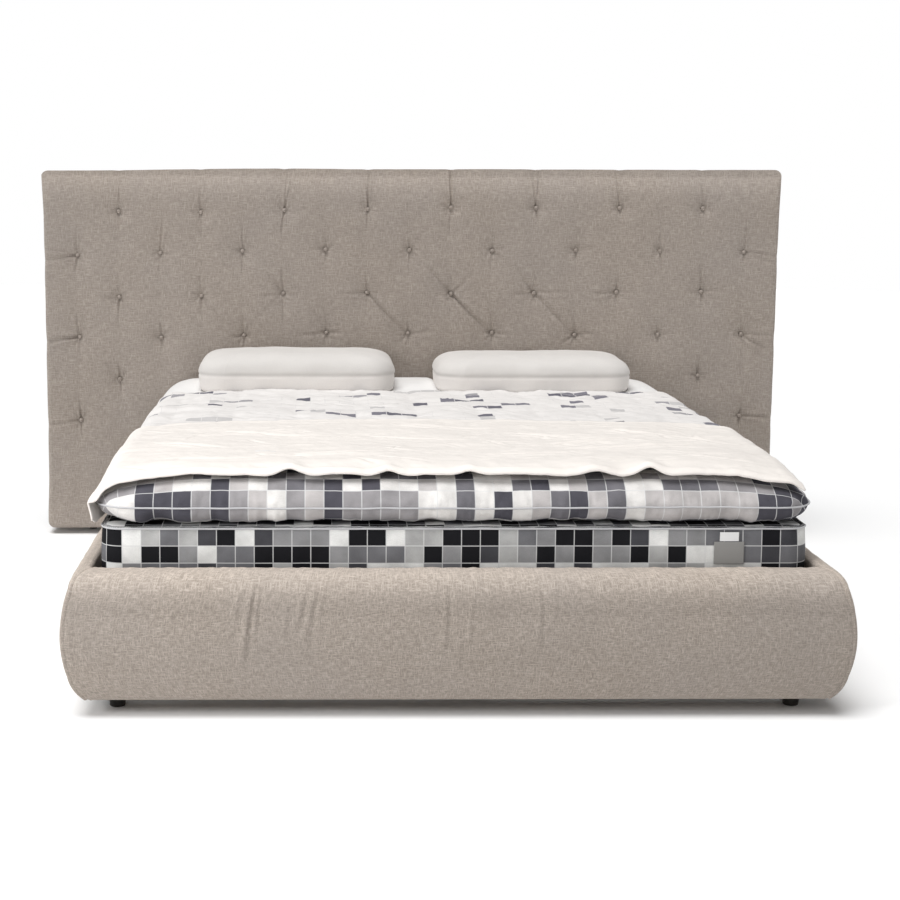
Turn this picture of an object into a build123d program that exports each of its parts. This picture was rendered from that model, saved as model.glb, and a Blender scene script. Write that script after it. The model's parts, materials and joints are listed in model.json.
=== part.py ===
"""Upholstered bed with a wide buttoned headboard, a low padded frame and its bedding.

Millimetres, +Z up, the floor at Z = 0. X runs across the bed and Y along it: the foot end faces -Y and the
headboard stands at the +Y end. The origin is on the floor under the centre of the whole bed.
"""

import os
from math import radians, sin

from build123d import *

# ------------------------------------------------------------------ driving dimensions
BED_LENGTH = 2295.0

HEAD_WIDTH = 2710.0
HEAD_TOP = 1355.0
HEAD_BOTTOM = 20.0
HEAD_DEPTH = 132.0
HEAD_EDGE_RADIUS = 22.0
HEAD_BACK_RADIUS = 6.0
HEAD_WRAP = 17.0
HEAD_PANEL_Y = 73.5
HEAD_PANEL_THICKNESS = 12.0
HEAD_TIMBER_DEPTH = 45.0
HEAD_TIMBER_WIDTH = 60.0
HEAD_MID_RAIL_Z = 640.0
HEAD_TURN_IN = 32.0
GLIDE_X = (1200.0, 420.0)
GLIDE_RADIUS = 14.0
GLIDE_GRIP = 36.0

BUTTON_PITCH_X = 306.0
BUTTON_PITCH_Z = 152.5
BUTTON_TOP_Z = 1207.0
BUTTON_ROWS = 6
BUTTON_RADIUS = 9.0
BUTTON_THICKNESS = 6.0
DIMPLE_RADIUS = 45.0
DIMPLE_SEAT_RADIUS = 10.0
DIMPLE_DEPTH = 12.0

COVER = 1.5
BASE_BOTTOM = 46.0
BASE_TOP = 355.0
BASE_HALF_BOTTOM = 926.5
BASE_HALF_BULGE = 978.0
BASE_HALF_TOP = 937.0
BASE_OVERLAP = 2.0
BULGE_LOW_Z = 108.0
BULGE_Z = 215.0
BULGE_HIGH_Z = 325.0
FOOT_HIGH_Z = 300.0
FOOT_TOP_SETBACK = 95.0
FOOT_BOTTOM_SETBACK = 24.0
# How far points of the two outlines lie inside the bulge, and above the bottom or below the top.
SIDE_TOE = (27.0, 31.0)
SIDE_WAIST = 15.0
SIDE_SHOULDER = 18.0
SIDE_CROWN = (25.0, 10.0)
FOOT_TOE = (11.0, 26.0)
FOOT_WAIST = 6.0
FOOT_SHOULDER = 16.0
FOOT_CROWN = (43.0, 16.0)

BOARD_THICKNESS = 22.0
BOARD_TOP = 330.0
SIDE_BOARD_BOTTOM = 90.0
CROSS_BOARD_BOTTOM = 60.0
HEAD_RAIL_SETBACK = 60.0
HEAD_RAIL_END = 23.0
BOARD_EASE = 1.0

LEDGE_WIDTH = 40.0
LEDGE_HEIGHT = 30.0
LEDGE_END_GAP = 2.0
SLAT_COUNT = 12
SLAT_WIDTH = 80.0
SLAT_THICKNESS = 18.0
SLAT_END_GAP = 6.0
BEAM_WIDTH = 60.0
BEAM_HEIGHT = 60.0
BEAM_LEG_RADIUS = 18.0
BEAM_LEG_FOOT_RADIUS = 26.0
BEAM_LEG_FOOT_HEIGHT = 8.0
BEAM_LEG_SPAN = 900.0

LEG_X = 853.0
LEG_TOP_RADIUS = 24.5
LEG_BOTTOM_RADIUS = 19.5
LEG_EDGE = 2.0
STUD_RADIUS = 4.0
STUD_HOLE_RADIUS = 4.3
STUD_GRIP = 36.0
HOLE_SPARE = 2.0

BRACKET_LEG = 70.0
BRACKET_THICKNESS = 4.0
BRACKET_BOTTOM = 105.0
BRACKET_HEIGHT = 100.0
BOLT_HEAD_RADIUS = 7.0
BOLT_HEAD_HEIGHT = 5.0
BOLT_INSET_X = 42.0
BOLT_INSET_Z = 25.0
BOARD_BOLT_LENGTH = 20.0
HEAD_BOLT_LENGTH = 125.0

MATTRESS_WIDTH = 1800.0
MATTRESS_LENGTH = 2000.0
MATTRESS_BOTTOM = 270.0
MATTRESS_HEIGHT = 185.0
MATTRESS_CORNER = 60.0
MATTRESS_EDGE = 10.0
MATTRESS_SEAM = 11.0
MATTRESS_HEAD_GAP = 8.0
MATTRESS_FOOT_GAP = 20.0
MATTRESS_SIDE_GAP = 21.0
TICKING = 1.8
PIPING_RADIUS = 2.5

LABEL_X = 690.0
LABEL_WIDTH = 76.0
LABEL_HEIGHT = 57.0
LABEL_BOTTOM = 357.0
TAB_WIDTH = 48.0
TAB_HEIGHT = 23.0
TAB_BOTTOM = 416.0
LABEL_THICKNESS = 1.0

TOPPER_GAP = 2.0
TOPPER_HEIGHT = 118.0
TOPPER_EDGE = 44.0
TOPPER_SEAM = 45.0

DUVET_HALF_WIDTH = 885.0
DUVET_HEAD_Y = 634.0
DUVET_FOOT_Y = -832.0
DUVET_THICKNESS = 18.0
DUVET_CORNER = 70.0
SOFT_GAP = 1.0

THROW_LEFT_X = -919.0
THROW_RIGHT_X = 912.0
THROW_HEAD_Y = -232.0
THROW_FOOT_Y = -1004.0
THROW_THICKNESS = 9.0
THROW_BEND = 56.0
THROW_SIDE_BOTTOM = 437.0

PILLOW_LENGTH = 690.0
PILLOW_DEPTH = 350.0
PILLOW_HEIGHT = 138.0
PILLOW_EDGE = 56.0
PILLOW_CORNER = 95.0
PILLOW_LEFT = (-420.0, 815.0)
PILLOW_RIGHT = (414.0, 829.0)

# ------------------------------------------------------------------ places worked out from them
FRONT_Y = -BED_LENGTH / 2
BACK_Y = BED_LENGTH / 2
HEAD_FRONT_Y = BACK_Y - HEAD_DEPTH
MATTRESS_HEAD_Y = HEAD_FRONT_Y - MATTRESS_HEAD_GAP
MATTRESS_FOOT_Y = MATTRESS_HEAD_Y - MATTRESS_LENGTH
MATTRESS_TOP = MATTRESS_BOTTOM + MATTRESS_HEIGHT
FOOT_INNER_Y = MATTRESS_FOOT_Y - MATTRESS_FOOT_GAP
SIDE_INNER_X = MATTRESS_WIDTH / 2 + MATTRESS_SIDE_GAP
HEAD_RAIL_Y = HEAD_FRONT_Y - HEAD_RAIL_SETBACK
SLAT_BOTTOM = MATTRESS_BOTTOM - SLAT_THICKNESS
TOPPER_BOTTOM = MATTRESS_TOP + TOPPER_GAP
TOPPER_TOP = TOPPER_BOTTOM + TOPPER_HEIGHT
BED_CENTRE_Y = (MATTRESS_HEAD_Y + MATTRESS_FOOT_Y) / 2
TIMBER_Y = HEAD_FRONT_Y + HEAD_PANEL_Y + HEAD_PANEL_THICKNESS
HEAD_BOLT_X = SIDE_INNER_X - BOLT_INSET_X
BOLT_HEIGHTS = [BRACKET_BOTTOM + BOLT_INSET_Z, BRACKET_BOTTOM + BRACKET_HEIGHT - BOLT_INSET_Z]
GLIDE_PLACES = [(side * x, TIMBER_Y + HEAD_TIMBER_DEPTH / 2) for side in (-1, 1) for x in GLIDE_X]

STANDING = (Align.CENTER, Align.CENTER, Align.MIN)

os.makedirs("parts", exist_ok=True)


def save(part, name):
    """Label a finished piece and write it."""
    part.label = name
    export_step(part, f"parts/{name}.step")


def block(low, high):
    """A rectangular block between two corners."""
    with BuildPart() as solid:
        with BuildSketch(Plane.XY.offset(low[2])):
            with Locations(((low[0] + high[0]) / 2, (low[1] + high[1]) / 2)):
                Rectangle(high[0] - low[0], high[1] - low[1])
        extrude(amount=high[2] - low[2])
    return solid.part


def save_board(name, low, high, holes=()):
    """A timber board with its long edges eased, less the holes drilled in it."""
    with BuildPart() as board:
        add(block(low, high))
        chamfer(board.edges(), BOARD_EASE)
        for hole in holes:
            add(hole, mode=Mode.SUBTRACT)
    save(board.part, name)


def rod(start, direction, length, radius):
    """A round bar, used for shanks and for the holes that take them."""
    with BuildPart() as bar:
        with BuildSketch(Plane(origin=start, z_dir=direction)):
            Circle(radius)
        extrude(amount=length)
    return bar.part


def both_sides(solid):
    """A solid on the right with its mirror image on the left."""
    return [solid, mirror(solid, about=Plane.YZ)]


# ------------------------------------------------------------------ the frame's outer form
def barrel(inset):
    """The bed frame seen from its foot end: bulging sides, run along Y from the foot to the headboard."""
    low = BASE_BOTTOM - BASE_OVERLAP + inset
    high = BASE_TOP + BASE_OVERLAP - inset
    bulge = BASE_HALF_BULGE - inset
    bottom = BASE_HALF_BOTTOM - inset
    top = BASE_HALF_TOP - inset
    toe = (bulge - SIDE_TOE[0], low + SIDE_TOE[1])
    waist = (bulge - SIDE_WAIST, BULGE_LOW_Z)
    shoulder = (bulge - SIDE_SHOULDER, BULGE_HIGH_Z)
    crown = (bulge - SIDE_CROWN[0], high - SIDE_CROWN[1])
    with BuildPart() as form:
        with BuildSketch(Plane.XZ.offset(-HEAD_FRONT_Y)):
            with BuildLine():
                ThreePointArc((bottom, low), toe, waist)
                ThreePointArc(waist, (bulge, BULGE_Z), shoulder)
                ThreePointArc(shoulder, crown, (top, high))
                mirror(about=Plane.YZ)
                Line((top, high), (-top, high))
                Line((-bottom, low), (bottom, low))
            make_face()
        extrude(amount=HEAD_FRONT_Y - FRONT_Y)
    return form.part


def foot_form(inset):
    """The bed frame seen from its side: the foot end's bulge and rolled top, run along X."""
    low = BASE_BOTTOM + inset
    high = BASE_TOP - inset
    bulge = FRONT_Y + inset
    base = (bulge + FOOT_BOTTOM_SETBACK, low)
    toe = (bulge + FOOT_TOE[0], low + FOOT_TOE[1])
    waist = (bulge + FOOT_WAIST, BULGE_LOW_Z)
    shoulder = (bulge + FOOT_SHOULDER, FOOT_HIGH_Z)
    crown = (bulge + FOOT_CROWN[0], high - FOOT_CROWN[1])
    crest = (bulge + FOOT_TOP_SETBACK, high)
    with BuildPart() as form:
        with BuildSketch(Plane.YZ.offset(-HEAD_WIDTH / 2)):
            with BuildLine():
                ThreePointArc(base, toe, waist)
                ThreePointArc(waist, (bulge, BULGE_Z), shoulder)
                ThreePointArc(shoulder, crown, crest)
                Polyline(crest, (HEAD_FRONT_Y, high), (HEAD_FRONT_Y, low), base)
            make_face()
        extrude(amount=HEAD_WIDTH)
    return form.part


# ------------------------------------------------------------------ legs
def leg_places():
    """Name, place and the top of the padding or board that each leg stands against."""
    front_y = FOOT_INNER_Y - BOARD_THICKNESS / 2
    rear_y = HEAD_RAIL_Y + BOARD_THICKNESS / 2
    return [
        ("leg_front_left", -LEG_X, front_y, BASE_BOTTOM),
        ("leg_front_right", LEG_X, front_y, BASE_BOTTOM),
        ("leg_rear_left", -LEG_X, rear_y, CROSS_BOARD_BOTTOM),
        ("leg_rear_right", LEG_X, rear_y, CROSS_BOARD_BOTTOM),
    ]


def leg_holes(places):
    """The holes that the legs' studs screw up into."""
    depth = CROSS_BOARD_BOTTOM + STUD_GRIP + HOLE_SPARE
    return [rod((x, y, 0), (0, 0, 1), depth, STUD_HOLE_RADIUS) for _, x, y, _ in places]


def glide_holes():
    """The holes that the headboard glides' studs push up into."""
    depth = HEAD_BOTTOM + GLIDE_GRIP + HOLE_SPARE
    return [rod((x, y, 0), (0, 0, 1), depth, STUD_HOLE_RADIUS) for x, y in GLIDE_PLACES]


def make_legs():
    """Dark tapered feet, each with a threaded stud in its top."""
    for name, x, y, top in leg_places():
        with BuildPart() as leg:
            with BuildSketch(Plane(origin=(x, y, 0), x_dir=(1, 0, 0), z_dir=(0, -1, 0))):
                with BuildLine():
                    Polyline(
                        (0, 0),
                        (LEG_BOTTOM_RADIUS - LEG_EDGE, 0),
                        (LEG_BOTTOM_RADIUS, LEG_EDGE),
                        (LEG_TOP_RADIUS, top),
                        (STUD_RADIUS, top),
                        (STUD_RADIUS, CROSS_BOARD_BOTTOM + STUD_GRIP),
                        (0, CROSS_BOARD_BOTTOM + STUD_GRIP),
                        close=True,
                    )
                make_face()
            revolve(axis=Axis((x, y, 0), (0, 0, 1)))
        save(leg.part, name)


# ------------------------------------------------------------------ brackets and bolts
def head_bolt_places():
    """Bolts that run from the head brackets through the headboard into its studs."""
    return [(side * HEAD_BOLT_X, z) for side in (-1, 1) for z in BOLT_HEIGHTS]


def head_bolt_holes():
    """Clearance holes for those bolts, right through the headboard's layers."""
    depth = HEAD_BOLT_LENGTH + HOLE_SPARE
    start = HEAD_FRONT_Y - HOLE_SPARE / 2
    return [rod((x, start, z), (0, 1, 0), depth, STUD_HOLE_RADIUS) for x, z in head_bolt_places()]


def angle_bracket(corner, into_y):
    """A steel angle in an inner corner on the right: one leg on the side board, one across the bed."""
    x, y = corner
    with BuildPart() as angle:
        with BuildSketch(Plane.XY.offset(BRACKET_BOTTOM)):
            with BuildLine():
                Polyline(
                    (x, y),
                    (x, y + into_y * BRACKET_LEG),
                    (x - BRACKET_THICKNESS, y + into_y * BRACKET_LEG),
                    (x - BRACKET_THICKNESS, y + into_y * BRACKET_THICKNESS),
                    (x - BRACKET_LEG, y + into_y * BRACKET_THICKNESS),
                    (x - BRACKET_LEG, y),
                    close=True,
                )
            make_face()
        extrude(amount=BRACKET_HEIGHT)
        for z in BOLT_HEIGHTS:
            end_hole = ((x - BOLT_INSET_X, y, z), (0, into_y, 0))
            side_hole = ((x, y + into_y * BOLT_INSET_X, z), (-1, 0, 0))
            for start, direction in (end_hole, side_hole):
                add(rod(start, direction, BRACKET_THICKNESS, STUD_HOLE_RADIUS), mode=Mode.SUBTRACT)
    return angle.part


def bolt(seat, direction, length):
    """A bolt whose head sits on a bracket at `seat`, its shank running along `direction`."""
    back = tuple(-value for value in direction)
    with BuildPart() as screw:
        with BuildSketch(Plane(origin=seat, z_dir=back)):
            RegularPolygon(BOLT_HEAD_RADIUS, 6)
        extrude(amount=BOLT_HEAD_HEIGHT)
        add(rod(seat, direction, length, STUD_RADIUS))
    return screw.part


def bracket_corners():
    """The right-hand inner corners at the foot and at the head, and the way into the bed from each."""
    return {
        "corner_brackets": ((SIDE_INNER_X, FOOT_INNER_Y), 1),
        "head_brackets": ((SIDE_INNER_X, HEAD_FRONT_Y), -1),
    }


def side_board_holes():
    """Holes in the right-hand side board for the bolts of both brackets."""
    holes = []
    for (x, y), into_y in bracket_corners().values():
        for z in BOLT_HEIGHTS:
            start = (x, y + into_y * BOLT_INSET_X, z)
            holes.append(rod(start, (1, 0, 0), BOARD_BOLT_LENGTH + HOLE_SPARE / 2, STUD_HOLE_RADIUS))
    return holes


def foot_board_holes():
    """Holes in the foot board for the corner brackets' bolts."""
    holes = []
    for x in (-HEAD_BOLT_X, HEAD_BOLT_X):
        for z in BOLT_HEIGHTS:
            start = (x, FOOT_INNER_Y, z)
            holes.append(rod(start, (0, -1, 0), BOARD_BOLT_LENGTH + HOLE_SPARE / 2, STUD_HOLE_RADIUS))
    return holes


def make_brackets_and_bolts():
    """Steel angles in the four inner corners and the bolts that hold them."""
    bolts = []
    for name, (corner, into_y) in bracket_corners().items():
        x, y = corner
        with BuildPart() as brackets:
            for piece in both_sides(angle_bracket(corner, into_y)):
                add(piece)
        save(brackets.part, name)
        grip = BOARD_BOLT_LENGTH if into_y > 0 else HEAD_BOLT_LENGTH
        for z in BOLT_HEIGHTS:
            side_seat = (x - BRACKET_THICKNESS, y + into_y * BOLT_INSET_X, z)
            bolts.append(bolt(side_seat, (1, 0, 0), BRACKET_THICKNESS + BOARD_BOLT_LENGTH))
            end_seat = (x - BOLT_INSET_X, y + into_y * BRACKET_THICKNESS, z)
            bolts.append(bolt(end_seat, (0, -into_y, 0), grip))
    with BuildPart() as group:
        for piece in bolts:
            for solid in both_sides(piece):
                add(solid)
    save(group.part, "frame_bolts")


# ------------------------------------------------------------------ timber, slats and centre beam
def make_boards():
    """The three boards round the mattress well and the cross rail at the head."""
    side_low = (SIDE_INNER_X, FOOT_INNER_Y - BOARD_THICKNESS, SIDE_BOARD_BOTTOM)
    side_high = (SIDE_INNER_X + BOARD_THICKNESS, HEAD_FRONT_Y, BOARD_TOP)
    with BuildPart() as board:
        add(block(side_low, side_high))
        for hole in side_board_holes():
            add(hole, mode=Mode.SUBTRACT)
    for name, piece in zip(("side_board_right", "side_board_left"), both_sides(board.part)):
        save(piece, name)

    legs = leg_places()
    save_board(
        "foot_board",
        (-SIDE_INNER_X, FOOT_INNER_Y - BOARD_THICKNESS, CROSS_BOARD_BOTTOM),
        (SIDE_INNER_X, FOOT_INNER_Y, BOARD_TOP),
        foot_board_holes() + leg_holes(legs[:2]),
    )
    save_board(
        "head_rail",
        (-LEG_X - HEAD_RAIL_END, HEAD_RAIL_Y, CROSS_BOARD_BOTTOM),
        (LEG_X + HEAD_RAIL_END, HEAD_RAIL_Y + BOARD_THICKNESS, SLAT_BOTTOM),
        leg_holes(legs[2:]),
    )


def make_slat_bed():
    """Ledges on the side boards, a centre beam on its own legs, and the slats across them."""
    ledge_low = (SIDE_INNER_X - LEDGE_WIDTH, FOOT_INNER_Y, SLAT_BOTTOM - LEDGE_HEIGHT)
    ledge_high = (SIDE_INNER_X, HEAD_RAIL_Y - LEDGE_END_GAP, SLAT_BOTTOM)
    save_board("slat_ledge_right", ledge_low, ledge_high)
    save_board(
        "slat_ledge_left",
        (-SIDE_INNER_X, FOOT_INNER_Y, SLAT_BOTTOM - LEDGE_HEIGHT),
        (LEDGE_WIDTH - SIDE_INNER_X, HEAD_RAIL_Y - LEDGE_END_GAP, SLAT_BOTTOM),
    )
    beam_bottom = SLAT_BOTTOM - BEAM_HEIGHT
    save_board(
        "centre_beam",
        (-BEAM_WIDTH / 2, FOOT_INNER_Y, beam_bottom),
        (BEAM_WIDTH / 2, HEAD_RAIL_Y, SLAT_BOTTOM),
    )
    with BuildPart() as legs:
        for y in (BED_CENTRE_Y - BEAM_LEG_SPAN / 2, BED_CENTRE_Y + BEAM_LEG_SPAN / 2):
            with Locations((0, y, 0)):
                Cylinder(BEAM_LEG_FOOT_RADIUS, BEAM_LEG_FOOT_HEIGHT, align=STANDING)
                Cylinder(BEAM_LEG_RADIUS, beam_bottom, align=STANDING)
    save(legs.part, "centre_legs")

    half_length = SIDE_INNER_X - SLAT_END_GAP
    first = FOOT_INNER_Y + SLAT_WIDTH
    pitch = (HEAD_RAIL_Y - SLAT_WIDTH - first) / (SLAT_COUNT - 1)
    for index in range(SLAT_COUNT):
        y = first + index * pitch
        save_board(
            f"slat_{index + 1:02d}",
            (-half_length, y - SLAT_WIDTH / 2, SLAT_BOTTOM),
            (half_length, y + SLAT_WIDTH / 2, MATTRESS_BOTTOM),
        )


# ------------------------------------------------------------------ the frame's upholstery
def make_frame_upholstery():
    """Shaped foam round the boards, and the woven covers over it, seamed at the front corners."""
    outer_barrel = barrel(0)
    inner_barrel = barrel(COVER)
    outer_foot = foot_form(0)
    inner_foot = foot_form(COVER)
    far = HEAD_WIDTH / 2
    side_board = block(
        (SIDE_INNER_X, FOOT_INNER_Y - BOARD_THICKNESS, SIDE_BOARD_BOTTOM),
        (SIDE_INNER_X + BOARD_THICKNESS, HEAD_FRONT_Y, BOARD_TOP),
    )
    foot_board = block(
        (-SIDE_INNER_X, FOOT_INNER_Y - BOARD_THICKNESS, CROSS_BOARD_BOTTOM),
        (SIDE_INNER_X, FOOT_INNER_Y, BOARD_TOP),
    )
    foot_leg_holes = leg_holes(leg_places()[:2])

    with BuildPart() as side_padding:
        add(inner_barrel)
        add(block((SIDE_INNER_X, FOOT_INNER_Y, 0), (far, HEAD_FRONT_Y, BASE_TOP * 2)), mode=Mode.INTERSECT)
        add(side_board, mode=Mode.SUBTRACT)
    for name, piece in zip(("side_padding_right", "side_padding_left"), both_sides(side_padding.part)):
        save(piece, name)

    with BuildPart() as foot_padding:
        add(inner_barrel)
        add(inner_foot, mode=Mode.INTERSECT)
        add(block((-far, FRONT_Y, 0), (far, FOOT_INNER_Y, BASE_TOP * 2)), mode=Mode.INTERSECT)
        for piece in both_sides(side_board) + [foot_board] + foot_leg_holes:
            add(piece, mode=Mode.SUBTRACT)
    save(foot_padding.part, "foot_padding")

    with BuildPart() as cover_reach:
        add(outer_foot)
        add(block((-far, FOOT_INNER_Y, 0), (far, HEAD_FRONT_Y, BASE_TOP * 2)))
    with BuildPart() as side_cover:
        add(outer_barrel)
        add(inner_barrel, mode=Mode.SUBTRACT)
        add(cover_reach.part, mode=Mode.INTERSECT)
        add(block((SIDE_INNER_X, FRONT_Y, 0), (far, HEAD_FRONT_Y, BASE_TOP * 2)), mode=Mode.INTERSECT)
    for name, piece in zip(("side_cover_right", "side_cover_left"), both_sides(side_cover.part)):
        save(piece, name)

    with BuildPart() as foot_cover:
        add(outer_foot)
        add(inner_foot, mode=Mode.SUBTRACT)
        add(inner_barrel, mode=Mode.INTERSECT)
        add(block((-far, FRONT_Y, 0), (far, FOOT_INNER_Y, BASE_TOP * 2)), mode=Mode.INTERSECT)
        for hole in foot_leg_holes:
            add(hole, mode=Mode.SUBTRACT)
    save(foot_cover.part, "foot_cover")


# ------------------------------------------------------------------ headboard
def button_places():
    """Diamond grid of buttons: rows of eight and nine in turn, as (x, z)."""
    places = []
    for row in range(BUTTON_ROWS):
        count = 8 + row % 2
        z = BUTTON_TOP_Z - row * BUTTON_PITCH_Z
        places += [((i - (count - 1) / 2) * BUTTON_PITCH_X, z) for i in range(count)]
    return places


def head_form(inset):
    """The headboard's outer form: a rounded slab with a dimple at each button."""
    half = HEAD_WIDTH / 2 - inset
    low = (-half, HEAD_FRONT_Y + inset, HEAD_BOTTOM + inset)
    with BuildPart() as form:
        add(block(low, (half, BACK_Y - inset, HEAD_TOP - inset)))
        fillet(form.faces().sort_by(Axis.Y)[0].edges(), HEAD_EDGE_RADIUS - inset)
        fillet(form.faces().sort_by(Axis.Y)[-1].edges(), HEAD_BACK_RADIUS - inset)
        seats = [Plane(origin=(x, HEAD_FRONT_Y + inset, z), z_dir=(0, 1, 0)) for x, z in button_places()]
        with Locations(*seats):
            Cone(
                DIMPLE_RADIUS,
                DIMPLE_SEAT_RADIUS,
                DIMPLE_DEPTH,
                align=STANDING,
                mode=Mode.SUBTRACT,
            )
    return form.part


def frame_room(back_y, margin=0.0):
    """The room that the headboard's panel and timber fill inside the padding."""
    half = HEAD_WIDTH / 2 - HEAD_WRAP - margin
    low = (-half, HEAD_FRONT_Y + HEAD_PANEL_Y, HEAD_BOTTOM + HEAD_WRAP + margin)
    return block(low, (half, back_y, HEAD_TOP - HEAD_WRAP - margin))


def make_headboard_soft():
    """Foam, cover, buttons and back cloth."""
    outer = head_form(0)
    inner = head_form(COVER)
    holes = head_bolt_holes() + glide_holes()

    with BuildPart() as padding:
        add(inner)
        for piece in [frame_room(BACK_Y)] + holes:
            add(piece, mode=Mode.SUBTRACT)
    save(padding.part, "headboard_padding")

    with BuildPart() as cover:
        add(outer)
        for piece in [inner, frame_room(BACK_Y, HEAD_TURN_IN)] + holes:
            add(piece, mode=Mode.SUBTRACT)
    save(cover.part, "headboard_cover")

    with BuildPart() as cloth:
        add(frame_room(BACK_Y, HEAD_TURN_IN))
        add(block((-HEAD_WIDTH, BACK_Y - COVER, 0), (HEAD_WIDTH, BACK_Y, HEAD_TOP)), mode=Mode.INTERSECT)
    save(cloth.part, "headboard_back_cloth")

    with BuildPart() as buttons:
        seat = Plane(origin=(0, HEAD_FRONT_Y + DIMPLE_DEPTH, 0), x_dir=(1, 0, 0), z_dir=(0, -1, 0))
        with BuildSketch(seat):
            with Locations(*button_places()):
                Circle(BUTTON_RADIUS)
        extrude(amount=BUTTON_THICKNESS)
        fillet(buttons.faces().filter_by(Axis.Y).group_by(Axis.Y)[0].edges(), BUTTON_THICKNESS / 2)
    save(buttons.part, "headboard_buttons")


def make_headboard_timber():
    """Uprights, cross members, bolt studs, the panel on their front and the glides under them."""
    half = HEAD_WIDTH / 2 - HEAD_WRAP
    low_z = HEAD_BOTTOM + HEAD_WRAP
    high_z = HEAD_TOP - HEAD_WRAP
    front = TIMBER_Y
    back = TIMBER_Y + HEAD_TIMBER_DEPTH
    wide = HEAD_TIMBER_WIDTH
    inner = half - wide
    bolt_holes = head_bolt_holes()

    save_board("headboard_stile_left", (-half, front, low_z), (-inner, back, high_z))
    save_board("headboard_stile_right", (inner, front, low_z), (half, back, high_z))
    save_board("headboard_top_rail", (-inner, front, high_z - wide), (inner, back, high_z))
    save_board("headboard_mid_rail", (-inner, front, HEAD_MID_RAIL_Z), (inner, back, HEAD_MID_RAIL_Z + wide))
    bottom_rail = ((-inner, front, low_z), (inner, back, low_z + wide))
    save_board("headboard_bottom_rail", *bottom_rail, glide_holes())
    for name, x in (("headboard_stud_left", -HEAD_BOLT_X), ("headboard_stud_right", HEAD_BOLT_X)):
        low = (x - wide / 2, front, low_z + wide)
        save_board(name, low, (x + wide / 2, back, HEAD_MID_RAIL_Z), bolt_holes)
    save_board(
        "headboard_panel",
        (-half, front - HEAD_PANEL_THICKNESS, low_z),
        (half, front, high_z),
        bolt_holes,
    )
    with BuildPart() as glides:
        for x, y in GLIDE_PLACES:
            with Locations((x, y, 0)):
                Cylinder(GLIDE_RADIUS, HEAD_BOTTOM, align=STANDING)
                Cylinder(STUD_RADIUS, HEAD_BOTTOM + GLIDE_GRIP, align=STANDING)
    save(glides.part, "headboard_glides")


# ------------------------------------------------------------------ mattress and topper
def soft_block(bottom, height, edge, inset):
    """A mattress form: rounded vertical corners and rounded top and bottom edges, less an inset."""
    with BuildPart() as form:
        with BuildSketch(Plane.XY.offset(bottom + inset)):
            with Locations((0, BED_CENTRE_Y)):
                RectangleRounded(
                    MATTRESS_WIDTH - 2 * inset,
                    MATTRESS_LENGTH - 2 * inset,
                    MATTRESS_CORNER - inset,
                )
        extrude(amount=height - 2 * inset)
        fillet(form.faces().filter_by(Axis.Z).edges(), edge - inset)
    return form.part


def layer(form, low, high):
    """The part of a form between two heights."""
    with BuildPart() as piece:
        add(form)
        half = MATTRESS_WIDTH
        add(block((-half, -BED_LENGTH, low), (half, BED_LENGTH, high)), mode=Mode.INTERSECT)
    return piece.part


def piping_ring(height):
    """Round piping that follows a rounded seam at one height, just proud of the fabric."""
    with BuildPart() as ring:
        with BuildLine(Plane.XY.offset(height)) as path:
            half_x = MATTRESS_WIDTH / 2 + PIPING_RADIUS
            half_y = MATTRESS_LENGTH / 2 + PIPING_RADIUS
            low = (-half_x, BED_CENTRE_Y - half_y)
            high = (half_x, BED_CENTRE_Y + half_y)
            corners = [(low[0], low[1]), (high[0], low[1]), (high[0], high[1]), (low[0], high[1])]
            FilletPolyline(*corners, radius=MATTRESS_CORNER + PIPING_RADIUS, close=True)
        with BuildSketch(Plane(origin=(0, low[1], height), z_dir=(1, 0, 0))):
            Circle(PIPING_RADIUS)
        sweep(path=path.wires()[0], transition=Transition.RIGHT)
    return ring.part


def make_mattress():
    """Sprung core, ticking in four panels, piped seams and a plain sewn-on tag."""
    outer = soft_block(MATTRESS_BOTTOM, MATTRESS_HEIGHT, MATTRESS_EDGE, 0)
    core = soft_block(MATTRESS_BOTTOM, MATTRESS_HEIGHT, MATTRESS_EDGE, TICKING)
    with BuildPart() as ticking:
        add(outer)
        add(core, mode=Mode.SUBTRACT)
    low_seam = MATTRESS_BOTTOM + MATTRESS_SEAM
    high_seam = MATTRESS_TOP - MATTRESS_SEAM
    save(core, "mattress_core")
    save(layer(ticking.part, 0, low_seam), "mattress_bottom_panel")
    save(layer(ticking.part, low_seam, high_seam), "mattress_border")
    save(layer(ticking.part, high_seam, HEAD_TOP), "mattress_top_panel")

    with BuildPart() as piping:
        add(piping_ring(low_seam))
        add(piping_ring(high_seam))
    save(piping.part, "mattress_piping")

    front = MATTRESS_FOOT_Y
    with BuildPart() as label:
        add(
            block(
                (LABEL_X - LABEL_WIDTH / 2, front - LABEL_THICKNESS, LABEL_BOTTOM),
                (LABEL_X + LABEL_WIDTH / 2, front, LABEL_BOTTOM + LABEL_HEIGHT),
            )
        )
        add(
            block(
                (LABEL_X - TAB_WIDTH / 2, front - LABEL_THICKNESS, TAB_BOTTOM),
                (LABEL_X + TAB_WIDTH / 2, front, TAB_BOTTOM + TAB_HEIGHT),
            )
        )
    save(label.part, "mattress_label")


def make_topper():
    """Soft filling in a two-part cover, joined by one piped seam at mid height."""
    outer = soft_block(TOPPER_BOTTOM, TOPPER_HEIGHT, TOPPER_EDGE, 0)
    core = soft_block(TOPPER_BOTTOM, TOPPER_HEIGHT, TOPPER_EDGE, TICKING)
    seam = TOPPER_BOTTOM + TOPPER_SEAM
    with BuildPart() as ticking:
        add(outer)
        add(core, mode=Mode.SUBTRACT)
    save(core, "topper_core")
    save(layer(ticking.part, 0, seam), "topper_cover_bottom")
    save(layer(ticking.part, seam, HEAD_TOP), "topper_cover_top")
    save(piping_ring(seam), "topper_piping")


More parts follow.
